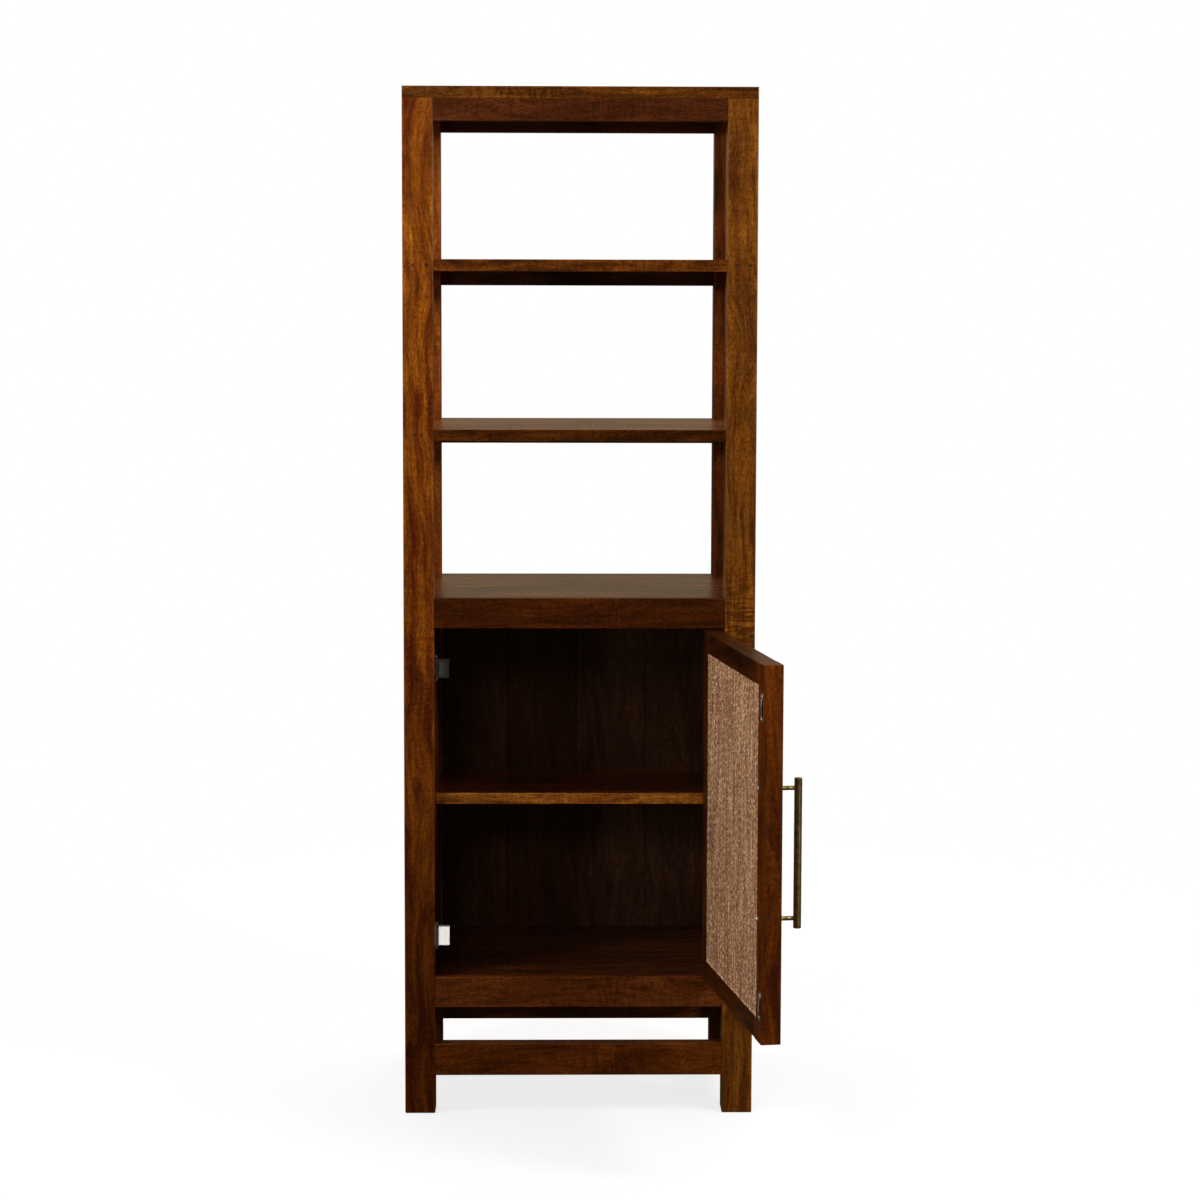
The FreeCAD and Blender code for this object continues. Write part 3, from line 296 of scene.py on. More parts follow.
upright = (0, 0, 1)
# Each post: its pale and deep tones, the painted shade at its foot, and its patches of ripple
post_tones = {
    "post_front_left": ("#96500c", "#5e2004", 0.48, ((0.62, 0.12, 0.6), (-0.1, 0.3, 0.4))),
    "post_front_right": ("#884d10", "#60300a", 0.82, ((-0.01, 0.10, 6.0), (0.75, 0.12, 0.4))),
    "post_back_left": ("#a6540e", "#78360c", 1.0, ((0.5, 0.2, 2.0),)),
    "post_back_right": ("#732f04", "#411602", 1.0, ((0.3, 0.2, 2.0),)),
}
for node, (pale, deep, foot, figure) in post_tones.items():
    dress(node, mango_wood(node, upright, pale, deep, figure, foot=foot))


# The boards: a top that lies on the posts, two open shelves notched round them, the deck over the
# cupboard and the cupboard's floor, each glued up from planks whose grain runs from side to side.
# Their tops are smoother and carry painted light, which makes them paler; the shelf in the
# cupboard has a pale edge, and painted shade makes its top dark.
side_to_side = (1, 0, 0)
board_tones = {
    "top_board": ("#6c390c", "#441e04", 1.7, ((-0.1, 0.14, 4.0),)),
    "upper_shelf_board": ("#71370a", "#431d04", 1.5, ((0.1, 0.1, 2.0),)),
    "lower_shelf_board": ("#522404", "#351502", 3.6, ()),
    "deck_board": ("#4e2002", "#301202", 2.3, ()),
    "floor_board": ("#4a220c", "#2c1306", 1.5, ()),
    "inner_shelf": ("#dd8630", "#9c541a", 0.28, ((-0.05, 0.15, 1.0),)),
}
planks = (Vector((0, 1, 0)), 94 * mm)
for node, (pale, deep, rubbed, figure) in board_tones.items():
    finish = mango_wood(
        node, side_to_side, pale, deep, figure, gloss=0.28, plank=planks, rubbed=rubbed
    )
    dress(node, finish)


# Rails and stretchers are narrow mango laths, tenoned into the posts. Their grain runs along them,
# and they took the stain darker and redder than the posts.
front_to_back = (0, 1, 0)
rail_tones = {
    "top_rail": ("#52220a", "#421b06"),
    "upper_shelf_rail": ("#50230a", "#321405"),
    "lower_shelf_rail": ("#50230a", "#321405"),
    "deck_rail": ("#4a1c02", "#3a1402"),
    "floor_rail": ("#763712", "#5c2a0c"),
    "stretcher": ("#733408", "#562404"),
}
for node in sorted(frame["nodes"]):
    level, _, side = node.rpartition("_")
    if level not in rail_tones:
        continue
    pale, deep = rail_tones[level]
    grain = side_to_side if side in ("front", "back") else front_to_back
    dress(node, mango_wood(node, grain, pale, deep, ((0.06, 0.08, 2.0),)))


# The cupboard's sides and the four tongued boards of its back: thinner mango boards with upright
# grain under a duller lacquer. The back boards are drawn almost black-brown: painted shade for
# the inside of the cupboard.
planks = (Vector((0, 1, 0)), 88 * mm)
for node in ("side_panel_left", "side_panel_right"):
    dress(node, mango_wood(node, upright, "#7c3c16", "#4c200c", gloss=0.38, plank=planks))
back_low, back_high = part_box("back_boards")
planks = (Vector((1, 0, 0)), (back_high.x - back_low.x) / 4)
dress(
    "back_boards",
    mango_wood("back_boards", upright, "#482a1b", "#362017", gloss=0.40, plank=planks),
)


# The nails that hold the shelves to the front posts are sunk, and their holes are stopped with
# dark wood filler, sanded flush and lacquered over with the post.
def wood_filler():
    material, tree = new_material("dark_wood_filler")
    where = put(tree, "TexCoord").outputs["Object"]
    grit = put(tree, "TexNoise", {"Vector": where, "Scale": 1 / (0.6 * mm), "Detail": 2.0})
    tones = {"Fac": grit, "Color1": linear("#1c0e07"), "Color2": linear("#3a1f0f")}
    tone = put(tree, "MixRGB", tones)
    bump = put(tree, "Bump", {"Height": grit, "Strength": 0.3, "Distance": 0.1 * mm})
    shader = put(tree, "BsdfPrincipled", {"Base Color": tone, "Roughness": 0.5, "Normal": bump})
    put(tree, "OutputMaterial", {"Surface": shader})
    return material


dress("joint_plugs", wood_filler())


# The door is a mango frame of two stiles and two rails, mortised together, and the grain runs along
# each of them. It hangs open on the right, so its rails point forwards, along the open door.
hinge = frame["joints"][0]
open_angle = -math.radians(hinge["range_deg"][0])
pivot_x, pivot_y = hinge["pos_m"][:2]
hung = Matrix.Translation((pivot_x, pivot_y, 0)) @ Matrix.Rotation(open_angle, 4, "Z")
along_door = (math.cos(open_angle), math.sin(open_angle), 0)
door_tones = {
    "door_stile_hinge": (upright, "#5c2a0c", "#341608"),
    "door_stile_free": (upright, "#7c3804", "#522002"),
    "door_rail_top": (along_door, "#502406", "#2e1204"),
    "door_rail_bottom": (along_door, "#502406", "#2e1204"),
    "panel_core": (upright, "#6a3a1a", "#4a2410"),
}
for node, (grain, pale, deep) in door_tones.items():
    dress(node, mango_wood(node, grain, pale, deep, ((0.15, 0.12, 0.5),)))


# The door's panel: mats of twisted natural fibre cord on both faces of a board. The cords stand
# upright side by side, each twisted from two plies, and neighbours are twisted opposite ways, so
# that they show as rows of slanting strokes: straw, tan and brown, dull and a little hairy.
def solids_of(node, placed=Matrix()):
    """The lowest and highest corner of each separate solid of a CAD node, seen from a place."""
    shape = bmesh.new()
    shape.from_mesh(frame["nodes"][node].data)
    shape.transform(placed.inverted())
    bmesh.ops.remove_doubles(shape, verts=shape.verts, dist=0.001 * mm)
    left = set(shape.verts)
    found = []
    while left:
        edge_of_search = [left.pop()]
        corners = []
        while edge_of_search:
            vertex = edge_of_search.pop()
            corners.append(vertex.co.copy())
            for edge in vertex.link_edges:
                other = edge.other_vert(vertex)
                if other in left:
                    left.remove(other)
                    edge_of_search.append(other)
        low = Vector([min(c[i] for c in corners) for i in range(3)])
        high = Vector([max(c[i] for c in corners) for i in range(3)])
        found.append((low, high))
    shape.free()
    found.sort(key=lambda solid: (round(solid[0].z, 4), round(solid[0].x, 4)))
    return found


def new_piece(name, shape, placed, body, material, smooth=True):
    """Makes a piece from a shape in its own place and lets it ride on a body."""
    mesh = bpy.data.meshes.new(name)
    bmesh.ops.recalc_face_normals(shape, faces=shape.faces)
    shape.to_mesh(mesh)
    shape.free()
    mesh.materials.append(material)
    for face in mesh.polygons:
        face.use_smooth = smooth
    piece = bpy.data.objects.new(name, mesh)
    scene.collection.objects.link(piece)
    piece.matrix_world = placed
    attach(piece, body)
    return piece


cord_width = 6.5 * mm
cord_pitch = 14 * mm
cord_swell = 3.0 * mm
cord_sway = 0.35 * mm
sway_length = 17 * mm
uneven_twist = 1.3
uneven_twist_length = 38 * mm
uneven_fullness = 0.14
uneven_fullness_length = 21 * mm
mat_backing = 0.8 * mm
turned_end = 5 * mm
columns_in_a_cord = 5
row_height = 1.75 * mm
just_inside_a_cord = 1e-4


def cord_surface(across, up, cords):
    """The relief of the cords at a point of the mat, and which ply it is on, and where on it."""
    cord = min(cords - 1, max(0, math.floor(across)))
    beside = max(-1, min(1, (across - cord - 0.5) * 2))
    round_by = math.asin(beside)
    wander = uneven_twist * noise.noise(Vector((cord * 7.3, up / uneven_twist_length, 0)))
    turn = (-1) ** cord * (math.tau * up / cord_pitch) + cord * 2.1 + wander
    ply = round_by - turn
    ridge = abs(math.cos(ply)) ** 0.6
    fullness = noise.noise(Vector((cord * 3.1, up / uneven_fullness_length, 5)))
    fullness = 0.93 + uneven_fullness * fullness
    relief = math.cos(round_by) ** 0.75 * (0.50 + 0.50 * ridge) * fullness
    radius = cord_width / 2
    slope = math.tau * radius / cord_pitch * (-1) ** cord
    length = math.hypot(1, slope)
    side = (round_by * radius - slope * up) / length + cord * 0.37
    lengthways = (up + slope * round_by * radius) / length + cord * 0.61
    number = 2 * cord + (math.cos(ply) > 0)
    return relief, number, side, lengthways


def close_behind(shape, grid, back):
    """Closes a grid of points with walls round its rim and a flat back."""
    rim = grid[0] + [line[-1] for line in grid[1:]]
    rim += list(reversed(grid[-1][:-1])) + [line[0] for line in reversed(grid[1:-1])]
    foot = [shape.verts.new((v.co.x, back, v.co.z)) for v in rim]
    for i in range(len(rim)):
        j = (i + 1) % len(rim)
        shape.faces.new((rim[j], rim[i], foot[i], foot[j]))
    shape.faces.new(foot)


def woven_mat(name, node, facing):
    """A mat of cords over the solid of a node. facing is 1 towards the inside of the cupboard."""
    low, high = solids_of(node, hung)[0]
    cords = round((high.x - low.x) / cord_width)
    columns = cords * columns_in_a_cord
    rows = round((high.z - low.z) / row_height)
    back = low.y if facing > 0 else high.y
    valley = back + facing * mat_backing
    shape = bmesh.new()
    fibre_layer = shape.loops.layers.uv.new("fibres")
    ply_layer = shape.loops.layers.uv.new("plies")
    grid = []
    fibre_places = {}
    ply_places = {}
    for row in range(rows + 1):
        line = []
        z = low.z + (high.z - low.z) * row / rows
        for column in range(columns + 1):
            across = column / columns_in_a_cord
            inside = across + just_inside_a_cord
            relief, number, side, lengthways = cord_surface(inside, z, cords)
            # Painted highlight: the cord along the free side and the turned ends at the bottom
            # are drawn paler, a painted sheen on the mat's edges
            bound = across < 1 or z < low.z + turned_end
            relief_and_painted_sheen = relief + (0.45 if bound else 0)
            x = low.x + (high.x - low.x) * column / columns
            x += cord_sway * noise.noise(Vector((across, z / sway_length, 9)))
            at = shape.verts.new((x, valley + facing * relief * cord_swell, z))
            fibre_places[at] = (side, lengthways)
            ply_places[at] = (number, relief_and_painted_sheen)
            line.append(at)
        grid.append(line)
    for row in range(rows):
        for column in range(columns):
            corners = (
                grid[row][column],
                grid[row][column + 1],
                grid[row + 1][column + 1],
                grid[row + 1][column],
            )
            face = shape.faces.new(corners)
            for loop in face.loops:
                loop[fibre_layer].uv = fibre_places[loop.vert]
                loop[ply_layer].uv = ply_places[loop.vert]
    close_behind(shape, grid, back)
    mat = new_piece(name, shape, hung, "door", cord_fibre)
    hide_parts(node)
    return mat


def twisted_fibre():
    """Dry plant fibre: thin strands along each ply, which differ in tone, with dark hollows
    where dust and painted shade lie between the strokes.
    """
    material, tree = new_material("twisted_plant_fibre")
    fibres = put(tree, "UVMap", uv_map="fibres")
    plies = put(tree, "SeparateXYZ", {"Vector": put(tree, "UVMap", uv_map="plies")})
    number, relief = plies.outputs[0], plies.outputs[1]
    run = put(tree, "SeparateXYZ", {"Vector": fibres}).outputs[1]

    # Each ply was spun from other leaves: its tone changes along the cord and from ply to ply,
    # and a few neighbouring cords came from a darker or a paler bundle
    steps = put(tree, "Math", {0: run, 1: 1 / (5 * mm)}, operation="MULTIPLY")
    ply = put(tree, "Math", {0: number, 1: 3.7}, operation="MULTIPLY")
    spun = put(tree, "CombineXYZ", {"X": ply, "Y": steps})
    batches = put(tree, "TexNoise", {"Vector": spun, "Scale": 1.0, "Detail": 1.0})
    steps = put(tree, "Math", {0: run, 1: 1 / (70 * mm)}, operation="MULTIPLY")
    cord = put(tree, "Math", {0: number, 1: 0.45}, operation="MULTIPLY")
    laid = put(tree, "CombineXYZ", {"X": cord, "Y": steps})
    bundles = put(tree, "TexNoise", {"Vector": laid, "Scale": 1.0, "Detail": 2.0})
    size = (1 / (0.6 * mm), 1 / (16 * mm), 0)
    strand = put(tree, "VectorMath", {0: fibres, 1: size}, operation="MULTIPLY")
    strands = put(tree, "TexNoise", {"Vector": strand, "Scale": 1.0, "Detail": 2.0})
    strands = strands.outputs[0]
    mixed = put(tree, "Math", {0: strands, 1: 0.3}, operation="MULTIPLY")
    mixed = put(tree, "Math", {0: bundles, 1: 0.35, 2: mixed}, operation="MULTIPLY_ADD")
    mixed = put(tree, "Math", {0: batches, 1: 0.35, 2: mixed}, operation="MULTIPLY_ADD")
    colour = put(tree, "ValToRGB", {"Fac": mixed})
    ramp = colour.color_ramp
    ramp.elements[0].position = 0.40
    ramp.elements[0].color = linear("#5e341a")
    ramp.elements[1].position = 0.60
    ramp.elements[1].color = linear("#fedaac")
    middle = ramp.elements.new(0.5)
    middle.color = linear("#ba7b48")
    # Dust and painted shade darken the hollows; the edges' painted sheen rises past the crests
    painted_hollow_shade = {"From Min": 0.2, "From Max": 0.85, "To Min": 0.14, "To Max": 1.14}
    shade = put(tree, "MapRange", {"Value": relief, **painted_hollow_shade}, clamp=False)
    tint = put(tree, "VectorMath", {0: colour, "Scale": shade}, operation="SCALE")
    bump = put(tree, "Bump", {"Height": strands, "Strength": 0.7, "Distance": 0.35 * mm})
    shader = put(tree, "BsdfPrincipled", {"Base Color": tint, "Roughness": 0.8, "Normal": bump})
    shader.inputs["Sheen Weight"].default_value = 0.15
    shader.inputs["Sheen Roughness"].default_value = 0.5
    put(tree, "OutputMaterial", {"Surface": shader})
    return material


cord_fibre = twisted_fibre()
woven_mat("woven_cords_inner", "woven_mat_inner", 1)
woven_mat("woven_cords_front", "woven_mat_front", -1)


# Loose fibres: ends that have sprung out of the cords, thin as thread, most of them along the free
# edge of the mat where the cords were cut.
def hair(shape, points, thick):
    """Adds a thin four-sided thread through points, drawn out to a tip."""
    rings = []
    for i, point in enumerate(points):
        ahead = points[min(i + 1, len(points) - 1)] - points[max(i - 1, 0)]
        side = ahead.orthogonal().normalized()
        other = ahead.normalized().cross(side)
        reach = thick * (1 - 0.8 * i / (len(points) - 1))
        ring = [side, other, -side, -other]
        rings.append([shape.verts.new(point + way * reach) for way in ring])
    for near, far in zip(rings, rings[1:]):
        for k in range(4):
            shape.faces.new((near[k], near[(k + 1) % 4], far[(k + 1) % 4], far[k]))
    shape.faces.new(list(reversed(rings[0])))
    shape.faces.new(rings[-1])


def loose_fibres(name, node, facing, count, seed):
    low, high = solids_of(node, hung)[0]
    level = high.y if facing > 0 else low.y
    pick = random.Random(seed)
    shape = bmesh.new()
    for i in range(count):
        at_edge = i % 2 == 0
        x = low.x + pick.uniform(1, 5) * mm if at_edge else pick.uniform(low.x, high.x)
        z = pick.uniform(low.z + 10 * mm, high.z - 20 * mm)
        length = pick.uniform(9, 26) * mm
        lean_x = pick.uniform(-0.35, 0.35) * length
        lift = pick.uniform(1.2, 3.2) * mm
        points = []
        for k in range(6):
            t = k / 5
            bow = math.sin(math.pi * t)
            points.append(
                Vector(
                    (
                        x + lean_x * t + pick.uniform(-0.4, 0.4) * mm,
                        level + facing * (lift * bow - 0.6 * mm + 1.2 * mm * t),
                        z + length * t,
                    )
                )
            )
        hair(shape, points, 0.22 * mm)
    fibres = new_piece(name, shape, hung, "door", loose_fibre)
    return fibres


def dry_fibre():
    material, tree = new_material("dry_plant_fibre")
    where = put(tree, "TexCoord").outputs["Object"]
    spots = put(tree, "TexNoise", {"Vector": where, "Scale": 1 / (9 * mm), "Detail": 1.0})
    tones = {"Fac": spots, "Color1": linear("#a67c55"), "Color2": linear("#dcbc92")}
    tone = put(tree, "MixRGB", tones)
    shader = put(tree, "BsdfPrincipled", {"Base Color": tone, "Roughness": 0.7})
    put(tree, "OutputMaterial", {"Surface": shader})
    return material


loose_fibre = dry_fibre()
loose_fibres("loose_fibres_inner", "woven_mat_inner", 1, 60, 11)
loose_fibres("loose_fibres_front", "woven_mat_front", -1, 40, 12)


# The handle: a round bar on two round posts, solid brass, brushed lengthways and bolted through the
# door. An antique patina darkens it to an olive gold and makes it partly matt, so that it mirrors
# less than bare metal.
def turned_shape(shape, profile, placed=Matrix(), steps=32):
    """Adds a solid of revolution about Z through (radius, height) points, in a place."""
    rings = []
    for radius, height in profile:
        if radius == 0:
            rings.append([shape.verts.new(placed @ Vector((0, 0, height)))])
            continue
        ring = []
        for i in range(steps):
            turn = math.tau * i / steps
            spot = Vector((radius * math.cos(turn), radius * math.sin(turn), height))
            ring.append(shape.verts.new(placed @ spot))
        rings.append(ring)
    for near, far in zip(rings, rings[1:]):
        for i in range(steps):
            j = (i + 1) % steps
            if len(near) == 1:
                shape.faces.new((near[0], far[i], far[j]))
            elif len(far) == 1:
                shape.faces.new((near[i], far[0], near[j]))
            else:
                shape.faces.new((near[i], far[i], far[j], near[j]))


def antique_brass():
    material, tree = new_material("brushed_antique_brass")
    where = put(tree, "TexCoord").outputs["Object"]
    # The brushed lines are too fine to be seen one by one: together they spread the gloss
    size = (1 / (0.06 * mm), 1 / (0.06 * mm), 1 / (6 * mm))
    brushing = put(tree, "VectorMath", {0: where, 1: size}, operation="MULTIPLY")
    lines = put(tree, "TexNoise", {"Vector": brushing, "Scale": 1.0, "Detail": 2.0})
    patina = put(tree, "TexNoise", {"Vector": where, "Scale": 1 / (14 * mm), "Detail": 4.0})
    tone = put(tree, "ValToRGB", {"Fac": patina})
    tone.color_ramp.elements[0].position = 0.34
    tone.color_ramp.elements[0].color = linear("#6f5f36")
    tone.color_ramp.elements[1].position = 0.66
    tone.color_ramp.elements[1].color = linear("#9f8953")
    gloss = {"From Min": 0.3, "From Max": 0.7, "To Min": 0.26, "To Max": 0.46}
    dullness = put(tree, "MapRange", {"Value": lines, **gloss})
    bump = put(tree, "Bump", {"Height": lines, "Strength": 0.15, "Distance": 0.05 * mm})
    metal = {"Base Color": tone, "Roughness": dullness, "Normal": bump, "Metallic": 0.8}
    put(tree, "OutputMaterial", {"Surface": put(tree, "BsdfPrincipled", metal)})
    return material


def handle_bar():
    low, high = solids_of("handle_bar", hung)[0]
    radius = (high.x - low.x) / 2
    edge = 0.9 * mm
    middle = Matrix.Translation(((low.x + high.x) / 2, (low.y + high.y) / 2, 0))
    profile = [(0, low.z + 0.25 * mm), (radius * 0.55, low.z + 0.2 * mm)]
    profile += [(radius - edge - 0.3 * mm, low.z), (radius - edge * 0.4, low.z + 0.25 * mm)]
    profile += [(radius, low.z + edge), (radius, low.z + 2 * edge)]
    other_end = [(r, low.z + high.z - h) for r, h in reversed(profile)]
    spans = 12
    steps = [low.z + 2 * edge + (high.z - low.z - 4 * edge) * i / spans for i in range(1, spans)]
    shape = bmesh.new()
    turned_shape(shape, profile + [(radius, z) for z in steps] + other_end, middle)
    bar = new_piece("brass_handle_bar", shape, hung, "door", brass)
    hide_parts("handle_bar")


def handle_posts():
    shape = bmesh.new()
    for low, high in solids_of("handle_posts", hung):
        radius = (high.x - low.x) / 2
        placed = Matrix.Translation(((low.x + high.x) / 2, high.y, (low.z + high.z) / 2))
        placed @= Matrix.Rotation(math.radians(90), 4, "X")
        length = high.y - low.y
        # A small shoulder where the post stands on the door
        profile = [
            (0, 0),
            (radius, 0),
            (radius, 0.8 * mm),
            (radius - 0.5 * mm, 1.4 * mm),
            (radius - 0.5 * mm, length / 2),
            (radius - 0.5 * mm, length - 0.3 * mm),
            (0, length),
        ]
        turned_shape(shape, profile, placed)
    posts = new_piece("brass_handle_posts", shape, hung, "door", brass)
    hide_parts("handle_posts")


brass = antique_brass()
handle_bar()
handle_posts()


# Screws: zinc-plated steel with a cross recess, bright and a little cloudy. The handle's bolts and
# the screws of catches and strike plates have domed heads; those of the hinges are countersunk.
def steel(name, spot, deep, pale, smooth, dull):
    """Steel with cloudy spots of a size, which differ in tone and in roughness."""
    material, tree = new_material(name)
    where = put(tree, "TexCoord").outputs["Object"]
    bloom = put(tree, "TexNoise", {"Vector": where, "Scale": 1 / spot, "Detail": 4.0})
    tones = {"Fac": bloom, "Color1": linear(deep), "Color2": linear(pale)}
    tone = put(tree, "MixRGB", tones)
    gloss = {"From Min": 0.3, "From Max": 0.7, "To Min": smooth, "To Max": dull}
    dullness = put(tree, "MapRange", {"Value": bloom, **gloss})
    metal = {"Base Color": tone, "Roughness": dullness, "Metallic": 1.0}
    put(tree, "OutputMaterial", {"Surface": put(tree, "BsdfPrincipled", metal)})
    return material


def head_blank(radius, height, domed):
    """A screw head before its recess is cut, with its seat at height 0 and its crown upwards."""
    shank, shank_depth = radius * 0.45, 1.2 * mm
    rim = 0.2 * mm
    if domed:
        rounds = 7
        arc = [math.radians(90) * i / rounds for i in range(rounds + 1)]
        crown = [(radius * math.cos(a), height * (0.25 + 0.75 * math.sin(a))) for a in arc]
        profile = [(0, -shank_depth), (shank, -shank_depth), (shank, 0), (radius, 0)]
        profile += crown[:-1] + [(0, height)]
    else:
        profile = [(0, -height), (radius * 0.5, -height), (radius, -rim), (radius, 0)]
        profile += [(radius * 0.6, 0), (0, 0)]
    shape = bmesh.new()
    turned_shape(shape, profile, steps=28)
    bmesh.ops.recalc_face_normals(shape, faces=shape.faces)
    return shape


def cross_recess(radius, height, crown_height):
    """The room that the driver's cross takes in a head: two wedges that narrow downwards."""
    shape = bmesh.new()
    for turn in (0, 90):
        wedge = bmesh.ops.create_cube(shape, size=1)["verts"]
        size = (radius * 1.15, radius * 0.26, height * 1.1)
        bmesh.ops.scale(shape, verts=wedge, vec=size)
        for vertex in wedge:
            if vertex.co.z < 0:
                vertex.co.x *= 0.45
                vertex.co.y *= 0.6
        spun = Matrix.Rotation(math.radians(turn), 4, "Z")
        raised = Matrix.Translation((0, 0, crown_height))
        bmesh.ops.transform(shape, matrix=raised @ spun, verts=wedge)
    return shape


def screw_head(radius, height, domed):
    """The mesh of a screw head with a cross recess."""
    blank = head_blank(radius, height, domed)
    recess = cross_recess(radius, height, height if domed else 0)
    parts = []
    for name, shape in (("screw_head", blank), ("screw_recess", recess)):
        mesh = bpy.data.meshes.new(name)
        shape.to_mesh(mesh)
        shape.free()
        part = bpy.data.objects.new(name, mesh)
        scene.collection.objects.link(part)
        parts.append(part)
    head, cutter = parts
    cut = head.modifiers.new("recess", "BOOLEAN")
    cut.operation = "DIFFERENCE"
    cut.object = cutter
    cut.solver = "EXACT"
    cut.use_self = True
    settled = head.evaluated_get(bpy.context.evaluated_depsgraph_get())
    finished = bpy.data.meshes.new_from_object(settled)
    for part in parts:
        bpy.data.objects.remove(part)
    return finished


domed_height = 1.8 * mm
bolt_height = 2.6 * mm
bolt_radius = 3.5 * mm
countersunk_height = 1.3 * mm


def screws(name, node, placed, body, way, domed):
    """Heads for every screw of a node. way is the direction, in its place, out of the wood."""
    shape = bmesh.new()
    axis = [abs(c) for c in way].index(1)
    out = way[axis]
    for i, (low, high) in enumerate(solids_of(node, placed)):
        centre = (low + high) / 2
        across = [k for k in range(3) if k != axis]
        radius = (high[across[0]] - low[across[0]]) / 2
        height = domed_height if radius < bolt_radius else bolt_height
        if not domed:
            height = countersunk_height
        tip = high[axis] if out > 0 else low[axis]
        centre[axis] = tip - out * (height if domed else 0)
        aim = Vector(way).to_track_quat("Z", "Y").to_matrix().to_4x4()
        spun = Matrix.Rotation(math.radians(23 + 61 * i), 4, "Z")
        one = bmesh.new()
        one.from_mesh(screw_head(radius, height, domed))
        bmesh.ops.transform(
            one, matrix=Matrix.Translation(centre) @ aim @ spun, verts=one.verts
        )
        together = bpy.data.meshes.new("one_screw")
        one.to_mesh(together)
        one.free()
        shape.from_mesh(together)
        bpy.data.meshes.remove(together)
    heads = new_piece(name, shape, placed, body, zinc, smooth=False)
    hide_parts(node)


zinc = steel("zinc_plated_steel", 3 * mm, "#d0cec8", "#f8f6f0", 0.27, 0.4)
screws("handle_bolt_heads", "handle_bolts", hung, "door", (0, 1, 0), True)
screws("strike_screw_heads", "strike_screws", hung, "door", (0, 1, 0), True)
screws("catch_screw_heads", "catch_screws", Matrix(), "carcass", (1, 0, 0), True)
screws("hinge_post_screw_heads", "hinge_post_screws", Matrix(), "carcass", (-1, 0, 0), False)
screws("hinge_door_screw_heads", "hinge_door_screws", hung, "door", (1, 0, 0), False)

# Strike plates: straps pressed from 1.2 mm steel, with two flat ears for the screws and a raised
# pad between them that the catch pulls on. Their edges are rolled round.
def strike_plates():
    shape = bmesh.new()
    for low, high in solids_of("strike_plates", hung):
        sheet, ear, slope = 1.2 * mm, 11 * mm, 2.2 * mm
        rise = high.y - low.y - sheet
        outer = [
            (low.z, 0),
            (low.z + ear - slope, 0),
            (low.z + ear, rise),
            (high.z - ear, rise),
            (high.z - ear + slope, 0),
            (high.z, 0),
        ]
        loops = []
        for x in (low.x, high.x):
            under = [shape.verts.new((x, low.y + up, z)) for z, up in outer]
            over = [shape.verts.new((x, low.y + up + sheet, z)) for z, up in outer]
            loops.append((under, over))
        (left_under, left_over), (right_under, right_over) = loops
        last = len(outer) - 1
        for i in range(last):
            for under, over in loops:
                shape.faces.new((under[i], under[i + 1], over[i + 1], over[i]))
            for left, right in ((left_under, right_under), (left_over, right_over)):
                shape.faces.new((left[i], left[i + 1], right[i + 1], right[i]))
        for i in (0, last):
            shape.faces.new((left_under[i], left_over[i], right_over[i], right_under[i]))
    bmesh.ops.recalc_face_normals(shape, faces=shape.faces)
    sharp = [e for e in shape.edges if e.calc_face_angle(0) > math.radians(50)]
    bmesh.ops.bevel(
        shape, geom=sharp, offset=0.5 * mm, segments=3, profile=0.5, affect="EDGES"
    )
    plates = new_piece("pressed_strike_plates", shape, hung, "door", zinc)
    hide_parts("strike_plates")


strike_plates()


# Hinges: two butt hinges of pressed steel, dulled to a grey-brown. Their leaves are let into the
# post and into the door's stile and screwed down, and they turn on capped pins.
hinge_steel = steel("dulled_hinge_steel", 5 * mm, "#5c5248", "#8b8073", 0.3, 0.5)
for node in ("hinge_post_leaves", "hinge_door_leaves", "hinge_pins"):
    dress(node, hinge_steel)


# Magnetic catches: moulded plastic housings screwed to the left post, each with a ferrite magnet
# between two steel plates. The upper one is dark grey-brown, and the lower one is capped in white.
def moulded_plastic(name, pale, deep, roughness, base=None):
    """Moulded plastic with a fine grain. base is (its tone, how far it reaches from the post)."""
    material, tree = new_material(name)
    where = put(tree, "TexCoord").outputs["Object"]
    spark = put(tree, "TexNoise", {"Vector": where, "Scale": 1 / (0.5 * mm), "Detail": 2.0})
    dust = put(tree, "TexNoise", {"Vector": where, "Scale": 1 / (8 * mm), "Detail": 3.0})
    tones = {"Fac": dust, "Color1": linear(deep), "Color2": linear(pale)}
    tone = put(tree, "MixRGB", tones)
    if base:
        base_tone, reach = base
        post_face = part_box("catch_housing_lower")[0].x
        out = put(tree, "SeparateXYZ", {"Vector": where}).outputs[0]
        beyond = put(tree, "Math", {0: out, 1: post_face + reach}, operation="GREATER_THAN")
        tone = put(tree, "MixRGB", {"Fac": beyond, "Color1": linear(base_tone), "Color2": tone})
    bump = put(tree, "Bump", {"Height": spark, "Strength": 0.2, "Distance": 0.05 * mm})
    plastic = {"Base Color": tone, "Roughness": roughness, "Normal": bump, "IOR": 1.5}
    put(tree, "OutputMaterial", {"Surface": put(tree, "BsdfPrincipled", plastic)})
    return material


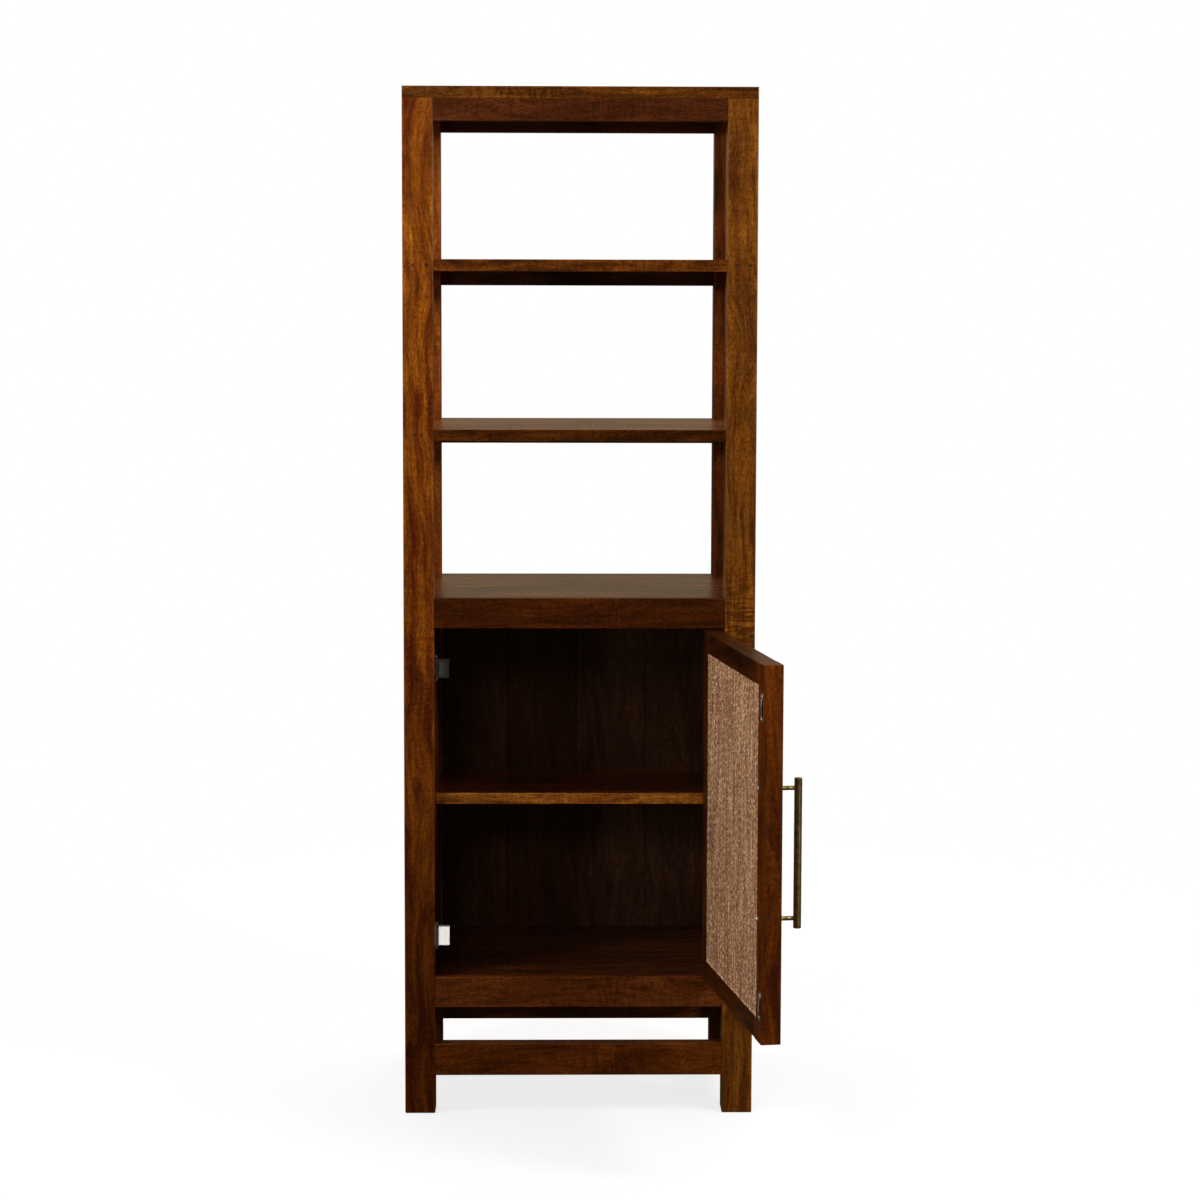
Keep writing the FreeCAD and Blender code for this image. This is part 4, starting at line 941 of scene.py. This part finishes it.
def lower_capped(name, pale, deep, roughness, metallic):
    """A finish of both catches, which the lower one has capped in the white of its housing."""
    material, tree = new_material(name)
    where = put(tree, "TexCoord").outputs["Object"]
    grit = put(tree, "TexNoise", {"Vector": where, "Scale": 1 / (0.8 * mm), "Detail": 3.0})
    tones = {"Fac": grit, "Color1": linear(deep), "Color2": linear(pale)}
    own = put(tree, "MixRGB", tones)
    tones = {"Fac": grit, "Color1": linear("#dedad0"), "Color2": linear("#f4f2ec")}
    white = put(tree, "MixRGB", tones)
    height = put(tree, "SeparateXYZ", {"Vector": where}).outputs[2]
    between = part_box("inner_shelf")[0].z
    lower = put(tree, "Math", {0: height, 1: between}, operation="LESS_THAN")
    tone = put(tree, "MixRGB", {"Fac": lower, "Color1": own, "Color2": white})
    bare = put(tree, "Math", {0: lower, 1: -metallic, 2: metallic}, operation="MULTIPLY_ADD")
    finish = {"Base Color": tone, "Roughness": roughness, "Metallic": bare}
    put(tree, "OutputMaterial", {"Surface": put(tree, "BsdfPrincipled", finish)})
    return material


dark_plastic = moulded_plastic("dark_moulded_plastic", "#4a423b", "#352e29", 0.5)
white_plastic = moulded_plastic(
    "white_moulded_plastic", "#f4f2ec", "#dedad0", 0.45, base=("#352e29", 5.5 * mm)
)
dress("catch_housing_upper", dark_plastic)
dress("catch_housing_lower", white_plastic)
dress("catch_magnets", lower_capped("capped_ferrite", "#3a3631", "#1f1d1b", 0.55, 0.0))
dress("catch_pole_plates", lower_capped("capped_zinc_plates", "#f8f6f0", "#d0cec8", 0.34, 1.0))


# The studio: a white backdrop of warm paper behind the cabinet, which its lacquer mirrors, a dark
# room in front and a pale floor that keeps the shadow. Soft lamps at the height of the top light
# the posts from both sides and the front, and low strips draw highlights on the metal.
def studio_world():
    world = bpy.data.worlds.new("studio")
    scene.world = world
    world.use_nodes = True
    tree = world.node_tree
    tree.nodes.clear()
    ray = put(tree, "LightPath")
    where = put(tree, "TexCoord").outputs["Generated"]
    way = put(tree, "SeparateXYZ", {"Vector": where})

    # How far a direction points to the backdrop, to the ceiling and to the side walls
    shares = []
    sideways = put(tree, "Math", {0: way.outputs["X"]}, operation="ABSOLUTE")
    for value, start, end in (
        (way.outputs["Y"], -0.45, 0.45),
        (way.outputs["Z"], -0.04, 0.05),
        (way.outputs["Z"], 0.25, 0.9),
        (sideways, 0.5, 0.95),
    ):
        share = {"Value": value, "From Min": start, "From Max": end}
        shares.append(put(tree, "MapRange", share, interpolation_type="SMOOTHSTEP"))
    back, above, ceiling, walls = shares
    ambient = put(tree, "Math", {0: back, 1: 0.7, 2: 0.11}, operation="MULTIPLY_ADD")
    backdrop = put(tree, "Math", {0: back, 1: above}, operation="MULTIPLY")
    mirrored = put(tree, "Math", {0: backdrop, 1: 0.22, 2: 0.04}, operation="MULTIPLY_ADD")
    for share, strength in ((ceiling, 0.5), (walls, 0.16)):
        lit = put(tree, "Math", {0: share, 1: above}, operation="MULTIPLY")
        lit = put(tree, "Math", {0: lit, 1: strength}, operation="MULTIPLY")
        mirrored = put(tree, "Math", {0: mirrored, 1: lit}, operation="MAXIMUM")
    # The walls and the backdrop are warm paper
    glow, sheen = linear("#fff7ed")[:3], linear("#ffe6c2")[:3]
    soft = put(tree, "VectorMath", {0: glow, "Scale": ambient}, operation="SCALE")
    paper = put(tree, "VectorMath", {0: sheen, "Scale": mirrored}, operation="SCALE")
    glossy = ray.outputs["Is Glossy Ray"]
    around = put(tree, "MixRGB", {"Fac": glossy, "Color1": soft, "Color2": paper})
    direct = {0: ray.outputs["Is Camera Ray"], 1: ray.outputs["Is Transmission Ray"]}
    seen = put(tree, "Math", direct, operation="MAXIMUM")
    strength = put(tree, "MixRGB", {"Fac": seen, "Color1": around, "Color2": (1, 1, 1, 1)})
    sky = put(tree, "Background", {"Color": strength, "Strength": 1.0})
    put(tree, "OutputWorld", {"Surface": sky})


def studio_floor():
    radius = 14
    shape = bmesh.new()
    bmesh.ops.create_circle(shape, cap_ends=True, radius=radius, segments=96)
    mesh = bpy.data.meshes.new("studio_floor")
    shape.to_mesh(mesh)
    shape.free()
    material, tree = new_material("matt_white_floor")
    ray = put(tree, "LightPath")
    where = put(tree, "TexCoord").outputs["Object"]
    away = put(tree, "VectorMath", {0: where}, operation="LENGTH").outputs["Value"]
    fading = {"Value": away, "From Min": 0.9, "From Max": 2.6, "To Min": 1.0, "To Max": 0.0}
    near = put(tree, "MapRange", fading, interpolation_type="SMOOTHSTEP")
    speckle = put(tree, "TexNoise", {"Vector": where, "Scale": 1 / (2.5 * mm), "Detail": 2.0})
    tones = {"From Min": 0.3, "From Max": 0.7, "To Min": 0.30, "To Max": 0.34}
    grain = put(tree, "MapRange", {"Value": speckle, **tones})
    pale = put(tree, "Math", {0: grain, 1: near}, operation="MULTIPLY")
    bounced = ray.outputs["Is Diffuse Ray"]
    dim = put(tree, "Math", {0: bounced, 1: -0.7, 2: 1.0}, operation="MULTIPLY_ADD")
    pale = put(tree, "Math", {0: pale, 1: dim}, operation="MULTIPLY")
    matt = put(tree, "BsdfDiffuse", {"Color": pale})
    lift = put(tree, "Math", {0: near, 1: -0.22, 2: 1.0}, operation="MULTIPLY_ADD")
    seen = ray.outputs["Is Camera Ray"]
    strength = put(tree, "Math", {0: seen, 1: lift}, operation="MULTIPLY")
    glow = put(tree, "Emission", {"Color": linear("#ffffff"), "Strength": strength})
    both = put(tree, "AddShader", {0: matt, 1: glow})
    put(tree, "OutputMaterial", {"Surface": both})
    mesh.materials.append(material)
    floor = bpy.data.objects.new("studio_floor", mesh)
    scene.collection.objects.link(floor)
    floor.location.z = -0.2 * mm
    floor.visible_glossy = False


def softbox(name, place, target, wide, high, power, glint=True):
    """A lamp with a soft face, aimed at a target. Without glint nothing mirrors it."""
    lamp = bpy.data.lights.new(name, "AREA")
    lamp.shape = "RECTANGLE"
    lamp.size = wide
    lamp.size_y = high
    lamp.energy = power
    holder = bpy.data.objects.new(name, lamp)
    scene.collection.objects.link(holder)
    holder.location = place
    holder.rotation_euler = (Vector(target) - Vector(place)).to_track_quat("-Z", "Y").to_euler()
    holder.visible_camera = False
    holder.visible_glossy = glint
    return holder


studio_world()
studio_floor()
softbox("softbox_left", (-1.3, -1.0, 2.15), (0, -0.2, 1.9), 0.4, 0.5, 15)
softbox("softbox_right", (1.8, -1.5, 1.9), (0, -0.1, 1.3), 0.5, 0.6, 24)
softbox("softbox_front", (-0.62, -2.9, 1.8), (-0.1, -0.2, 1.6), 0.5, 0.5, 12, glint=False)
softbox("strip_left", (-1.7, -2.3, 0.75), (0.2, -0.5, 0.55), 0.15, 0.9, 5)
softbox("strip_side", (-1.6, -0.75, 0.35), (0.2, -0.7, 0.45), 0.03, 0.9, 1.2)
softbox("strip_right", (1.5, -1.9, 0.5), (0.2, -0.6, 0.5), 0.15, 0.9, 2)
softbox("back_fill", (0.8, 4.5, 2.6), (0, 0, 0.9), 2.0, 2.0, 60, glint=False)

# A small lamp that lights nothing but the white catch, deep behind the left post
lit_part = bpy.data.collections.new("lit_part")
for node in ("catch_housing_lower", "catch_magnets", "catch_pole_plates"):
    lit_part.objects.link(frame["nodes"][node])
catch_lamp = softbox("catch_lamp", (0.3, -2.0, 0.5), (-0.25, -0.19, 0.3), 0.2, 0.2, 32, glint=False)
catch_lamp.light_linking.receiver_collection = lit_part
